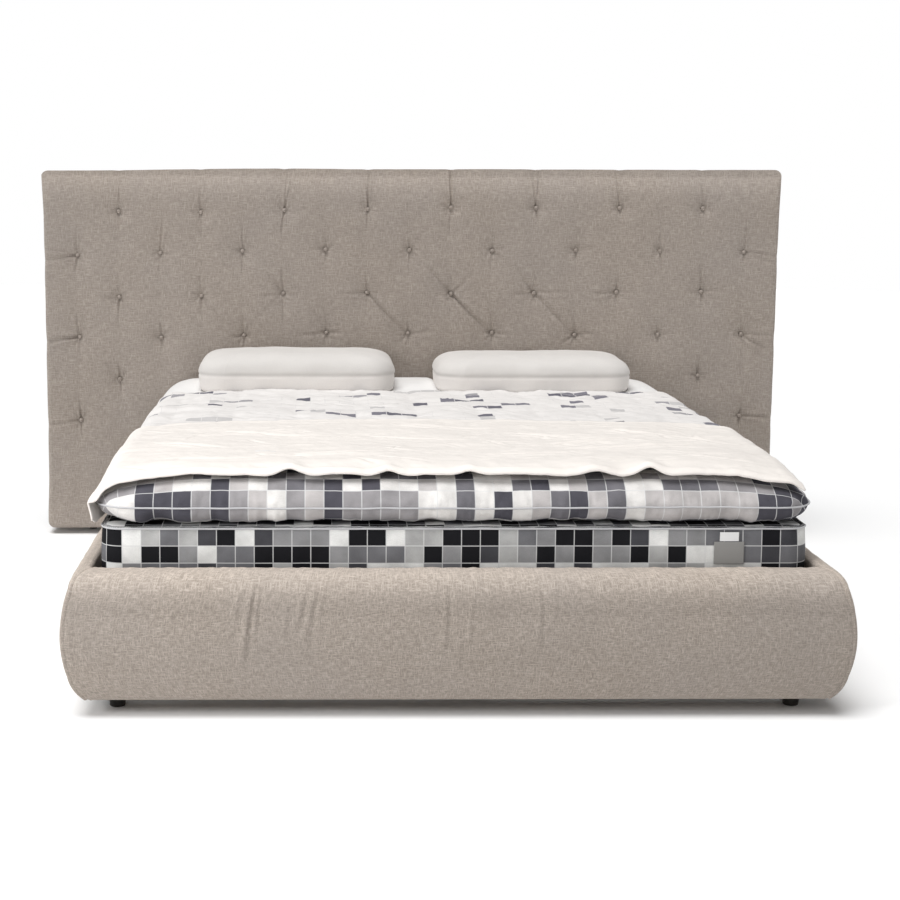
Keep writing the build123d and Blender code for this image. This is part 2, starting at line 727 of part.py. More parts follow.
# ------------------------------------------------------------------ bedding
def make_duvet():
    """A thin quilt over the middle of the bed."""
    with BuildPart() as duvet:
        with BuildSketch(Plane.XY.offset(TOPPER_TOP + SOFT_GAP)):
            with Locations((0, (DUVET_HEAD_Y + DUVET_FOOT_Y) / 2)):
                RectangleRounded(2 * DUVET_HALF_WIDTH, DUVET_HEAD_Y - DUVET_FOOT_Y, DUVET_CORNER)
        extrude(amount=DUVET_THICKNESS)
        fillet(duvet.faces().filter_by(Axis.Z).edges(), DUVET_THICKNESS / 3)
    save(duvet.part, "duvet")


def make_throw():
    """A cover over the quilt's foot half: it turns down over the foot end and hangs at the left side."""
    bottom = TOPPER_TOP + DUVET_THICKNESS + 2 * SOFT_GAP
    top = bottom + THROW_THICKNESS
    bend_y = THROW_FOOT_Y + THROW_THICKNESS + THROW_BEND
    reach = THROW_THICKNESS + THROW_BEND
    slant = sin(radians(45))
    under_bend = (bend_y - THROW_BEND * slant, bottom - THROW_BEND * (1 - slant))
    over_bend = (bend_y - reach * slant, top - reach * (1 - slant))
    with BuildPart() as throw:
        with BuildSketch(Plane.YZ.offset(THROW_LEFT_X)):
            with BuildLine():
                Line((THROW_HEAD_Y, bottom), (bend_y, bottom))
                hem = (bend_y - THROW_BEND, bottom - THROW_BEND)
                ThreePointArc((bend_y, bottom), under_bend, hem)
                Line(hem, (THROW_FOOT_Y, bottom - THROW_BEND))
                Line((bend_y, top), (THROW_HEAD_Y, top))
                ThreePointArc((THROW_FOOT_Y, bottom - THROW_BEND), over_bend, (bend_y, top))
                Line((THROW_HEAD_Y, top), (THROW_HEAD_Y, bottom))
            make_face()
        extrude(amount=THROW_RIGHT_X - THROW_LEFT_X)
        add(
            block(
                (THROW_LEFT_X, THROW_FOOT_Y, THROW_SIDE_BOTTOM),
                (THROW_LEFT_X + THROW_THICKNESS, THROW_HEAD_Y, top),
            )
        )
    save(throw.part, "throw")


def make_pillows():
    """Two firm pillows with rounded edges, side by side against the headboard."""
    for name, (x, y) in (("pillow_left", PILLOW_LEFT), ("pillow_right", PILLOW_RIGHT)):
        with BuildPart() as pillow:
            with BuildSketch(Plane.XY.offset(TOPPER_TOP + SOFT_GAP)):
                with Locations((x, y)):
                    RectangleRounded(PILLOW_LENGTH, PILLOW_DEPTH, PILLOW_CORNER)
            extrude(amount=PILLOW_HEIGHT)
            fillet(pillow.faces().filter_by(Axis.Z).edges(), PILLOW_EDGE)
        save(pillow.part, name)


make_boards()
make_slat_bed()
make_brackets_and_bolts()
make_legs()
make_frame_upholstery()
make_headboard_timber()
make_headboard_soft()
make_mattress()
make_topper()
make_duvet()
make_throw()
make_pillows()
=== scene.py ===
"""Looks of the upholstered bed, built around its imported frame.

Metres, +Z up, in the frame's own axes: the foot end faces -Y, the headboard stands at +Y. Places come from
the frame's nodes. Every soft piece is a mesh of its own that stands for its plain CAD solid.
"""

import json
import math

import bmesh
import bpy
import numpy as np
from mathutils import Matrix, Vector


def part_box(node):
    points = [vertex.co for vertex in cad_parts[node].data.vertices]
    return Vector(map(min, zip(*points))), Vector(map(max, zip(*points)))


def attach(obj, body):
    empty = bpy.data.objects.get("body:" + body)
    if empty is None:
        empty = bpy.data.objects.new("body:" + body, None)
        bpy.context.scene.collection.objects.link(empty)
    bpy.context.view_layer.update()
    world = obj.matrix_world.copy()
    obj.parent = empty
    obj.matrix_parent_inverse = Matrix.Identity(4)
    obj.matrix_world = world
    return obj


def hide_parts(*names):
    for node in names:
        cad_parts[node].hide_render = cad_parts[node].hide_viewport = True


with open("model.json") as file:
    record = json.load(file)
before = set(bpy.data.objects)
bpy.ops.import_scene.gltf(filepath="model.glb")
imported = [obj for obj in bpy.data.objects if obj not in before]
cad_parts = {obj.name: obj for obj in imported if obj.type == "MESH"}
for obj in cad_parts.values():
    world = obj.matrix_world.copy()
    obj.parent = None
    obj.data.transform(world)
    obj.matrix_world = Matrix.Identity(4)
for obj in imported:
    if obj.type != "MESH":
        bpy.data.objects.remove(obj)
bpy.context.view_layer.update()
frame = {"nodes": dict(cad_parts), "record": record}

# ------------------------------------------------------------------ driving values
EYE = (-0.3527, -5.0613, 1.3169)         # where the camera stands
BUTTON_RADIUS = 0.0074
BUTTON_ROWS = 6
CHECK = (0.0475, 0.0440)                 # width and height of a printed square
PIPING = 0.0023                          # radius of the piping
TICKING = 0.0018                         # thickness of the ticking over its core
MATTRESS_CORNER = 0.06                   # corner radii, seen from above
TOPPER_CORNER = 0.105
PILLOW_CORNER = 0.095
TAG_HEIGHT = 0.0575
TAB_HEIGHT = 0.023
TAB_HALF_WIDTH = 0.024
TOPPER_SPREAD = 1.011                    # how much wider than its core the soft topper lies
DUVET_THICKNESS = 0.006
THROW_THICKNESS = 0.004
SHEET_THICKNESS = 0.002
MITRE = 0.012                            # radius of the frame cover's front corners
MITRE_STEPS = 8
FOLDED_STRETCHES = [-0.55, -0.38, 0.0, 0.2]  # where the foot rail's cover has its folds, from -1 to 1


# ------------------------------------------------------------------ numbers
def smooth(t):
    """A smooth step from 0 to 1."""
    t = np.clip(t, 0, 1)
    return t * t * (3 - 2 * t)


def bump(distance, width):
    """A rounded bump of height 1 and about this half width."""
    return np.exp(-((distance / width) ** 2))


def noise(x, y, scale, seed):
    """Smooth value noise from -1 to 1, with features about `scale` metres apart."""
    table = np.random.default_rng(seed).uniform(-1, 1, (97, 89))
    u = np.asarray(x) / scale + 31.7
    v = np.asarray(y) / scale + 17.3
    i, j = np.floor(u).astype(int), np.floor(v).astype(int)
    fu, fv = smooth(u - i), smooth(v - j)
    near = table[i % 97, j % 89] * (1 - fu) + table[(i + 1) % 97, j % 89] * fu
    far = table[i % 97, (j + 1) % 89] * (1 - fu) + table[(i + 1) % 97, (j + 1) % 89] * fu
    return near * (1 - fv) + far * fv


def rough(x, y, scale, seed, octaves=3):
    """Several octaves of noise, each half as large and half as strong."""
    total = 0.0
    for k in range(octaves):
        total = total + noise(x, y, scale / 2**k, seed + k) / 2**k
    return total / 1.6


def crease(x, y, start, end, width, bend=0.0):
    """A fold line from start to end: a narrow valley, -1, between two soft ridges, fading to its end."""
    (x0, y0), (x1, y1) = start, end
    length = math.hypot(x1 - x0, y1 - y0)
    ux, uy = (x1 - x0) / length, (y1 - y0) / length
    reach = length / 2 + 8 * width
    near = (np.abs(x - (x0 + x1) / 2) < reach) & (np.abs(y - (y0 + y1) / 2) < reach)
    along = ((x[near] - x0) * ux + (y[near] - y0) * uy) / length
    side = -(x[near] - x0) * uy + (y[near] - y0) * ux
    side = side + bend * np.sin(np.clip(along, 0, 1) * math.pi)
    spread = width * (0.75 + 0.6 * np.clip(along, 0, 1))
    shape = -bump(side, spread) + 0.45 * bump(np.abs(side) - 2.3 * spread, 1.3 * spread)
    fade = smooth((along + 0.05) / 0.08) * (1 - smooth((along - 0.45) / 0.55))
    out = np.zeros_like(x)
    out[near] = shape * fade
    return out


def spaced(low, high, lines, coarse, fine, reach, calm=None, calm_step=0.0):
    """Positions from low to high: `fine` apart near the lines, else `coarse`; `calm_step` below `calm`."""
    probe = np.linspace(low, high, 6000)
    near = np.min(np.abs(probe[:, None] - np.asarray(lines)[None, :]), axis=1)
    step = fine + (coarse - fine) * smooth((near / reach - 0.35) / 0.65)
    if calm is not None:
        step = step + (calm_step - coarse) * smooth((calm - probe) / 0.06)
    count = np.concatenate([[0], np.cumsum(np.diff(probe) / ((step[1:] + step[:-1]) / 2))])
    return np.interp(np.linspace(0, count[-1], int(round(count[-1])) + 1), count, probe)


def arc(centre, radius, start, end, count):
    """Points on an arc, angles in degrees."""
    angle = np.radians(np.linspace(start, end, count))
    return np.stack([centre[0] + radius * np.cos(angle), centre[1] + radius * np.sin(angle)], 1)


def three_point_arc(a, b, c, count):
    """Points on the circle through a, b and c, from a to c."""
    (ax, ay), (bx, by), (cx, cy) = a, b, c
    d = 2 * (ax * (by - cy) + bx * (cy - ay) + cx * (ay - by))
    sa, sb, sc = ax * ax + ay * ay, bx * bx + by * by, cx * cx + cy * cy
    ox = (sa * (by - cy) + sb * (cy - ay) + sc * (ay - by)) / d
    oy = (sa * (cx - bx) + sb * (ax - cx) + sc * (bx - ax)) / d
    angles = np.unwrap([math.atan2(y - oy, x - ox) for x, y in (a, b, c)])
    angle = np.linspace(angles[0], angles[2], count)
    radius = math.hypot(ax - ox, ay - oy)
    return np.stack([ox + radius * np.cos(angle), oy + radius * np.sin(angle)], 1)


def chain(*runs):
    """One line of points from several runs that meet end to end."""
    return np.concatenate([runs[0]] + [run[1:] for run in runs[1:]])


def straight(a, b, count):
    """Points from a to b."""
    return np.linspace(a, b, count)


def lengths(points):
    """Distance along a line of points."""
    step = np.linalg.norm(np.diff(points, axis=0), axis=1)
    return np.concatenate([[0], np.cumsum(step)])


# ------------------------------------------------------------------ meshes
def mesh_object(name, vertices, faces, uv=None):
    """A smooth-shaded mesh object; uv gives each vertex its place on the cloth, in metres."""
    mesh = bpy.data.meshes.new(name)
    mesh.from_pydata(np.asarray(vertices, float).tolist(), [], faces)
    if uv is not None:
        layer = mesh.uv_layers.new(name="cloth")
        corner = np.zeros(len(mesh.loops), int)
        mesh.loops.foreach_get("vertex_index", corner)
        layer.data.foreach_set("uv", np.asarray(uv, float)[corner].ravel())
    mesh.polygons.foreach_set("use_smooth", np.ones(len(mesh.polygons), bool))
    mesh.update()
    piece = bpy.data.objects.new(name, mesh)
    bpy.context.scene.collection.objects.link(piece)
    return piece


def normals(points, wrap=False):
    """Unit normals of a grid of points."""
    if wrap:
        du = np.roll(points, -1, 0) - np.roll(points, 1, 0)
    else:
        du = np.gradient(points, axis=0)
    dv = np.gradient(points, axis=1)
    n = np.cross(du, dv)
    return n / np.maximum(np.linalg.norm(n, axis=2, keepdims=True), 1e-12)


def quads_of(index):
    """Quads of a grid of vertex numbers."""
    return np.stack([index[:-1, :-1], index[1:, :-1], index[1:, 1:], index[:-1, 1:]], -1).reshape(-1, 4)


def grid_faces(rows, cols, flip=False):
    """Quads of a grid of rows x cols vertices."""
    quads = quads_of(np.arange(rows * cols).reshape(rows, cols))
    return (quads[:, ::-1] if flip else quads).tolist()


def grid_object(name, points, uv, flip=False):
    """A mesh from a grid of points and each point's place on the cloth."""
    rows, cols = points.shape[:2]
    return mesh_object(name, points.reshape(-1, 3), grid_faces(rows, cols, flip), uv.reshape(-1, 2))


def tube(name, line, radius, closed=False, sides=10):
    """Round piping along a line of points."""
    line = np.asarray(line, float)
    if closed:
        ahead = np.roll(line, -1, 0) - np.roll(line, 1, 0)
    else:
        ahead = np.gradient(line, axis=0)
    ahead = ahead / np.linalg.norm(ahead, axis=1, keepdims=True)
    up = np.array([0.02, 0.03, 1.0])
    across = np.cross(ahead, up)
    across = across / np.linalg.norm(across, axis=1, keepdims=True)
    over = np.cross(across, ahead)
    angle = np.linspace(0, 2 * math.pi, sides, endpoint=False)
    ring = np.cos(angle)[:, None] * across[:, None, :] + np.sin(angle)[:, None] * over[:, None, :]
    points = line[:, None, :] + radius * ring
    count = len(line)
    index = np.arange(count * sides).reshape(count, sides)
    index = np.hstack([index, index[:, :1]])
    if closed:
        index = np.vstack([index, index[:1]])
    quads = quads_of(index).tolist()
    if not closed:
        quads += [list(range(sides)), list(range(count * sides - 1, (count - 1) * sides - 1, -1))]
    run = lengths(line)
    uv = np.stack([np.repeat(run, sides), np.tile(angle * radius, count)], 1)
    return mesh_object(name, points.reshape(-1, 3), quads, uv)


def dress(piece, material, body, slot, *nodes):
    """Give a piece its material and the body it rides on, and hide the CAD nodes it stands for; slot is not
    used.
    """
    piece.data.materials.clear()
    piece.data.materials.append(material)
    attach(piece, body)
    if nodes:
        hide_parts(*nodes)
    return piece


# ------------------------------------------------------------------ material nodes
class Shader:
    """A node material under construction."""

    def __init__(self, name, roughness=0.85, sheen=0.0, sheen_tint=(1, 1, 1), specular=0.3):
        self.material = bpy.data.materials.new(name)
        self.material.use_nodes = True
        self.tree = self.material.node_tree
        self.bsdf = self.tree.nodes["Principled BSDF"]
        self.bsdf.inputs["Roughness"].default_value = roughness
        self.bsdf.inputs["Specular IOR Level"].default_value = specular
        self.bsdf.inputs["Sheen Weight"].default_value = sheen
        self.bsdf.inputs["Sheen Roughness"].default_value = 0.5
        self.bsdf.inputs["Sheen Tint"].default_value = (*sheen_tint, 1)

    def node(self, kind, inputs=(), **settings):
        made = self.tree.nodes.new("ShaderNode" + kind)
        for key, value in settings.items():
            setattr(made, key, value)
        for key, value in dict(inputs).items():
            if isinstance(value, bpy.types.NodeSocket):
                self.tree.links.new(value, made.inputs[key])
            else:
                made.inputs[key].default_value = value
        return made

    def math(self, operation, a, b=0.0):
        return self.node("Math", {0: a, 1: b}, operation=operation).outputs[0]

    def plus(self, a, b):
        return self.math("ADD", a, b)

    def minus(self, a, b):
        return self.math("SUBTRACT", a, b)

    def times(self, a, b):
        return self.math("MULTIPLY", a, b)

    def grey(self, value):
        """A neutral colour of this brightness."""
        return self.node("CombineColor", {0: value, 1: value, 2: value}).outputs[0]

    def mix(self, factor, a, b, blend="MIX"):
        made = self.node("Mix", data_type="RGBA", blend_type=blend)
        for key, value in ((0, factor), (6, a), (7, b)):
            if isinstance(value, bpy.types.NodeSocket):
                self.tree.links.new(value, made.inputs[key])
            elif key == 0:
                made.inputs[key].default_value = value
            else:
                made.inputs[key].default_value = (*value, 1)
        return made.outputs[2]

    def cloth(self):
        """The place on the cloth, in metres, as separate numbers."""
        place = self.node("UVMap", uv_map="cloth").outputs[0]
        split = self.node("SeparateXYZ", {0: place})
        return place, split.outputs[0], split.outputs[1]

    def place(self):
        """The place in the frame, in metres, as separate numbers."""
        point = self.node("TexCoord").outputs["Object"]
        split = self.node("SeparateXYZ", {0: point})
        return point, split.outputs[0], split.outputs[1], split.outputs[2]

    def stretched(self, vector, scale):
        """The vector scaled along each axis, per metre."""
        return self.node("Mapping", {"Vector": vector, "Scale": scale}).outputs[0]

    def noise(self, vector, scale=1.0, detail=2.0, rough=0.5):
        settings = {"Vector": vector, "Scale": scale, "Detail": detail, "Roughness": rough}
        return self.node("TexNoise", settings).outputs["Fac"]

    def ramp(self, value, low, high, to_low=0.0, to_high=1.0):
        settings = {"Value": value, "From Min": low, "From Max": high, "To Min": to_low, "To Max": to_high}
        return self.node("MapRange", settings).outputs[0]

    def colour(self, socket):
        self.tree.links.new(socket, self.bsdf.inputs["Base Color"])

    def relief(self, height, distance, strength=1.0):
        made = self.node("Bump", {"Height": height, "Distance": distance, "Strength": strength})
        self.tree.links.new(made.outputs[0], self.bsdf.inputs["Normal"])


def woven(name, dark, mid, light, yarn=0.0016, sheen=0.25, crown=(0, 1, 0), strokes=(380, 62)):
    """Heathered linen: long crossed yarns and slubs, slow changes of tone, and a painted highlight: the top
    painted paler with height, for the light from above.
    """
    s = Shader(name, roughness=0.92, sheen=sheen, sheen_tint=light, specular=0.2)
    place, u, v = s.cloth()
    narrow, long = strokes
    warp = s.noise(s.stretched(place, (narrow, long, 1)), detail=3, rough=0.6)
    weft = s.noise(s.stretched(place, (0.93 * long, 0.97 * narrow, 1)), detail=3, rough=0.6)
    slub_up = s.noise(s.stretched(place, (240, 60, 1)), detail=2)
    slub_across = s.noise(s.stretched(place, (56, 250, 1)), detail=2)
    fibre = s.noise(place, scale=620, detail=1)
    tone = s.noise(place, scale=9, detail=3)
    patch = s.noise(place, scale=3.1, detail=2)
    yarns = s.plus(s.math("MAXIMUM", warp, weft), s.times(s.minus(fibre, 0.5), 0.3))
    slubs = s.times(s.minus(s.math("MAXIMUM", slub_up, slub_across), 0.55), 0.5)
    yarns = s.plus(yarns, slubs)
    base = s.mix(s.ramp(yarns, 0.42, 0.72), dark, light)
    base = s.mix(0.25, base, mid)
    base = s.mix(s.ramp(tone, 0.3, 0.7, 0.0, 0.16), base, dark)
    grey = tuple(sum(mid) / 3 * tint for tint in (1.02, 0.96, 0.95))
    base = s.mix(s.ramp(patch, 0.35, 0.65, 0.0, 0.13), base, grey)
    # Painted highlight: from height low to high the colour is multiplied up by as much as the gain, standing
    # in for the light from above on the top.
    low, high, painted_highlight_gain = crown
    height = s.ramp(s.place()[3], low, high)
    shade = s.plus(s.times(s.math("POWER", height, 1.8), painted_highlight_gain), 1.0)
    s.colour(s.mix(1.0, base, s.grey(shade), "MULTIPLY"))
    across = s.math("SINE", s.times(u, 2 * math.pi / yarn))
    along = s.math("SINE", s.times(v, 2 * math.pi / yarn))
    weave = s.times(s.times(across, along), 0.25)
    s.relief(s.plus(weave, s.times(yarns, 1.8)), 0.0006, 0.9)
    return s.material


def cell_number(s, u, v, seed):
    """A random number for each check square; about half of them share theirs with the next in the row."""
    across = s.math("FLOOR", s.math("DIVIDE", u, CHECK[0]))
    up = s.math("FLOOR", s.math("DIVIDE", v, CHECK[1]))
    group = s.math("FLOOR", s.plus(s.math("DIVIDE", across, 3.0), s.times(up, 0.37)))

    def drawn(number, layer):
        cell = s.node("CombineXYZ", {0: number, 1: up, 2: layer}).outputs[0]
        return s.node("TexWhiteNoise", {"Vector": cell}, noise_dimensions="3D").outputs["Value"]

    alone = drawn(across, seed)
    shared = drawn(group, seed + 5.0)
    pick = s.math("GREATER_THAN", drawn(across, seed + 9.0), 0.45)
    number = s.plus(s.times(shared, pick), s.times(alone, s.minus(1.0, pick)))
    return number, across, up


def grid_line(s, u, v, half):
    """1 on the thin lines between check squares, 0 inside them."""
    out = []
    for value, size in ((u, CHECK[0]), (v, CHECK[1])):
        place = s.math("FRACT", s.math("DIVIDE", value, size))
        edge = s.times(s.math("ABSOLUTE", s.minus(place, 0.5)), size)
        out.append(s.ramp(edge, size / 2 - half, size / 2 - half * 0.4))
    return s.math("MAXIMUM", out[0], out[1])


def stepped(s, value, steps):
    """A colour chosen in steps by a number from 0 to 1."""
    ramp = s.node("ValToRGB", {"Fac": value})
    ramp.color_ramp.interpolation = "CONSTANT"
    marks = ramp.color_ramp.elements
    marks[0].position, marks[0].color = 0.0, (*steps[0][1], 1)
    marks[1].position, marks[1].color = steps[1][0], (*steps[1][1], 1)
    for position, colour in steps[2:]:
        mark = marks.new(position)
        mark.color = (*colour, 1)
    return ramp.outputs["Color"]


def checked(name, steps, seed, line=(0.60, 0.60, 0.60)):
    """Ticking woven in random squares of black, greys and white, with thin pale lines between them."""
    s = Shader(name, roughness=0.8, specular=0.12)
    place, u, v = s.cloth()
    number = cell_number(s, u, v, seed)[0]
    twill = s.math("SINE", s.times(s.plus(u, v), 2 * math.pi / 0.0021))
    soft = s.noise(place, scale=16, detail=3)
    yarn = s.noise(s.stretched(place, (500, 380, 1)), detail=1)
    shade = s.plus(s.ramp(soft, 0.25, 0.75, 0.72, 1.12), s.ramp(yarn, 0.3, 0.7, -0.06, 0.06))
    colour = s.mix(1.0, stepped(s, number, steps), s.grey(shade), "MULTIPLY")
    colour = s.mix(s.times(grid_line(s, u, v, 0.0016), 0.8), colour, line)
    s.colour(colour)
    lines = s.times(grid_line(s, u, v, 0.0022), 0.4)
    s.relief(s.plus(s.times(twill, 0.2), s.plus(yarn, lines)), 0.0004, 0.6)
    return s.material


def cotton(name, colour, shade, yarn=0.0007, roughness=0.8, sheen=0.15):
    """Plain fine cotton with a little unevenness of tone."""
    s = Shader(name, roughness=roughness, sheen=sheen, specular=0.25)
    place, u, v = s.cloth()
    tone = s.noise(place, scale=7, detail=3)
    thread = s.noise(s.stretched(place, (420, 60, 1)), detail=2)
    thread_across = s.noise(s.stretched(place, (60, 420, 1)), detail=2)
    both = s.times(s.plus(thread, thread_across), 0.5)
    base = s.mix(s.ramp(tone, 0.3, 0.7, 0.0, 0.5), colour, shade)
    s.colour(s.mix(s.ramp(both, 0.35, 0.65, 0.0, 0.12), base, shade))
    across = s.math("SINE", s.times(u, 2 * math.pi / yarn))
    along = s.math("SINE", s.times(v, 2 * math.pi / yarn))
    s.relief(s.plus(s.times(s.times(across, along), 0.2), both), 0.0003, 0.5)
    return s.material


def painted_shade_cotton(name, crown, band):
    """Pillow case cotton: the crown above the seam at v = 0 painted greyer than the band below it, painted
    shade that evens out the stronger light from above on the crown.
    """
    s = Shader(name, roughness=0.8, sheen=0.15, specular=0.25)
    place, _, v = s.cloth()
    tone = s.noise(place, scale=7, detail=3)
    knit = s.noise(s.stretched(place, (300, 420, 1)), detail=2)
    # Painted shade: the crown takes the darker colour to offset the light from above that falls on it.
    base = s.mix(s.ramp(v, -0.004, 0.004), band, crown)
    shade = s.plus(s.ramp(tone, 0.3, 0.7, -0.04, 0.02), s.ramp(knit, 0.3, 0.7, 0.96, 1.03))
    s.colour(s.mix(1.0, base, s.grey(shade), "MULTIPLY"))
    s.relief(knit, 0.0004, 0.5)
    return s.material


def patched_cotton(name, colour, shade, seed):
    """White cotton printed here and there with runs of violet-grey or pale grey squares."""
    s = Shader(name, roughness=0.8, sheen=0.15, specular=0.25)
    place, u, v = s.cloth()
    number, across, up = cell_number(s, u, v, seed)
    run = s.node("CombineXYZ", {0: s.times(across, 0.27), 1: s.times(up, 0.83), 2: seed * 1.7})
    patch = s.noise(run.outputs[0], scale=1.0, detail=1)
    chosen = s.math("GREATER_THAN", s.plus(patch, s.times(number, 0.10)), 0.665)
    deep = s.noise(run.outputs[0], scale=0.8, detail=0)
    level = s.plus(s.times(deep, 1.6), s.times(number, 0.25))
    greys = stepped(s, s.minus(level, 0.45), [
        (0.0, (0.10, 0.096, 0.125)), (0.32, (0.165, 0.158, 0.19)), (0.50, (0.30, 0.29, 0.31)),
        (0.62, (0.52, 0.505, 0.50)),
    ])
    tone = s.noise(place, scale=6, detail=3)
    base = s.mix(s.ramp(tone, 0.3, 0.7, 0.0, 0.5), colour, shade)
    faint = s.times(s.math("GREATER_THAN", patch, 0.56), grid_line(s, u, v, 0.0015))
    base = s.mix(s.times(faint, 0.35), base, (0.45, 0.44, 0.45))
    inside = s.times(chosen, s.minus(1.0, grid_line(s, u, v, 0.0017)))
    s.colour(s.mix(inside, base, greys))
    thread = s.noise(s.stretched(place, (420, 380, 1)), detail=2)
    s.relief(thread, 0.0003, 0.5)
    return s.material


def wood(name, dark, light, roughness=0.5):
    """Straight-grained timber, its grain along the piece's longest run."""
    s = Shader(name, roughness=roughness, specular=0.4)
    point = s.place()[0]
    rings = s.noise(s.stretched(point, (2.5, 2.5, 60)), detail=4)
    pores = s.noise(s.stretched(point, (30, 30, 900)), detail=2)
    grain = s.plus(s.times(rings, 0.8), s.times(pores, 0.25))
    s.colour(s.mix(s.ramp(grain, 0.35, 0.75), dark, light))
    s.relief(grain, 0.0004, 0.5)
    return s.material


def metal(name, colour, roughness, metallic):
    """Painted or bare steel with a fine uneven finish."""
    s = Shader(name, roughness=roughness, specular=0.5)
    s.bsdf.inputs["Metallic"].default_value = metallic
    point = s.place()[0]
    grainy = s.noise(point, scale=260, detail=2)
    s.colour(s.mix(s.ramp(grainy, 0.3, 0.7, 0.0, 0.35), colour, tuple(c * 0.7 for c in colour)))
    s.relief(grainy, 0.0001, 0.5)
    return s.material


def foam(name, colour):
    """Cut foam: pale, open-celled."""
    s = Shader(name, roughness=0.95, specular=0.1)
    point = s.place()[0]
    cells = s.node("TexVoronoi", {"Vector": point, "Scale": 400}).outputs["Distance"]
    s.colour(s.mix(s.ramp(cells, 0.1, 0.7), tuple(c * 0.75 for c in colour), colour))
    s.relief(cells, 0.0005, 0.7)
    return s.material


def make_materials():
    """Every material of the bed by the record's slot name."""
    return {
        # Each weave's crown paints its top paler, a painted highlight: a little on the headboard, strongly on
        # the frame's rolled top edge.
        "headboard_weave": woven(
            "headboard_weave", (0.268, 0.229, 0.197), (0.372, 0.324, 0.284), (0.525, 0.460, 0.405),
            crown=(1.24, 1.345, 0.16), strokes=(320, 34),
        ),
        "frame_weave": woven(
            "frame_weave", (0.190, 0.162, 0.137), (0.300, 0.261, 0.226), (0.455, 0.398, 0.349),
            sheen=0.7, crown=(0.285, 0.366, 0.78),
        ),
        "foam": foam("foam", (0.78, 0.74, 0.62)),
        "back_cloth": cotton("back_cloth", (0.02, 0.02, 0.022), (0.035, 0.035, 0.037), sheen=0.05),
        "timber": wood("timber", (0.36, 0.22, 0.11), (0.62, 0.44, 0.26)),
        "slat_wood": wood("slat_wood", (0.46, 0.30, 0.16), (0.70, 0.53, 0.34), 0.45),
        "plywood": wood("plywood", (0.40, 0.27, 0.15), (0.58, 0.42, 0.25)),
        "leg_wood": wood("leg_wood", (0.006, 0.005, 0.004), (0.02, 0.016, 0.013), 0.35),
        "glide_plastic": metal("glide_plastic", (0.02, 0.02, 0.02), 0.55, 0.0),
        "bracket_steel": metal("bracket_steel", (0.03, 0.03, 0.032), 0.45, 0.0),
        "bolt_steel": metal("bolt_steel", (0.45, 0.45, 0.46), 0.35, 1.0),
        "ticking": checked("ticking", TICKING_STEPS, 6.0),
        "topper_ticking": checked("topper_ticking", TOPPER_STEPS, 14.0),
        "piping": cotton("piping", (0.50, 0.50, 0.51), (0.36, 0.36, 0.38)),
        "label": cotton("label", (0.26, 0.255, 0.245), (0.21, 0.206, 0.20)),
        "tab": cotton("tab", (0.75, 0.75, 0.75), (0.62, 0.62, 0.63)),
        "duvet_cotton": patched_cotton("duvet_cotton", (0.755, 0.73, 0.71), (0.68, 0.655, 0.64), 4.0),
        "sheet_cotton": cotton("sheet_cotton", (0.76, 0.75, 0.74), (0.70, 0.69, 0.68)),
        "throw_cotton": cotton("throw_cotton", (0.787, 0.743, 0.699), (0.75, 0.705, 0.665), yarn=0.0011),
        # The pillow's crown colour is darker than its band's, painted shade against the light from above.
        "pillow_cotton": painted_shade_cotton("pillow_cotton", (0.645, 0.62, 0.595), (0.80, 0.765, 0.735)),
    }


# The checks' colours, each from a share of the squares upwards.
TICKING_STEPS = [
    (0.0, (0.009, 0.009, 0.011)), (0.25, (0.055, 0.055, 0.062)), (0.41, (0.15, 0.15, 0.16)),
    (0.57, (0.25, 0.25, 0.255)), (0.70, (0.40, 0.40, 0.395)), (0.80, (0.72, 0.72, 0.705)),
]
TOPPER_STEPS = [
    (0.0, (0.075, 0.073, 0.088)), (0.22, (0.155, 0.15, 0.165)), (0.38, (0.29, 0.278, 0.285)),
    (0.56, (0.47, 0.445, 0.44)), (0.76, (0.70, 0.68, 0.66)),
]


# ------------------------------------------------------------------ headboard
def button_points():
    """The headboard's buttons as (row, number in the row, x, z), each a little off its place in the grid."""
    low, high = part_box("headboard_buttons")
    pitch_x = (high.x - BUTTON_RADIUS) / 4
    pitch_z = (high.z - low.z - 2 * BUTTON_RADIUS) / (BUTTON_ROWS - 1)
    rng = np.random.default_rng(15)
    points = []
    for row in range(BUTTON_ROWS):
        count = 8 + row % 2
        for i in range(count):
            x = (i - (count - 1) / 2) * pitch_x
            z = high.z - BUTTON_RADIUS - row * pitch_z
            x = x - 0.012 * math.cos(math.pi / 2 * x / high.x) + rng.uniform(-0.004, 0.004)
            z = z - 0.016 * float(smooth((-x - 0.25) / 0.9)) + 0.003 + rng.uniform(-0.005, 0.005)
            points.append((row, i, x, z))
    return points


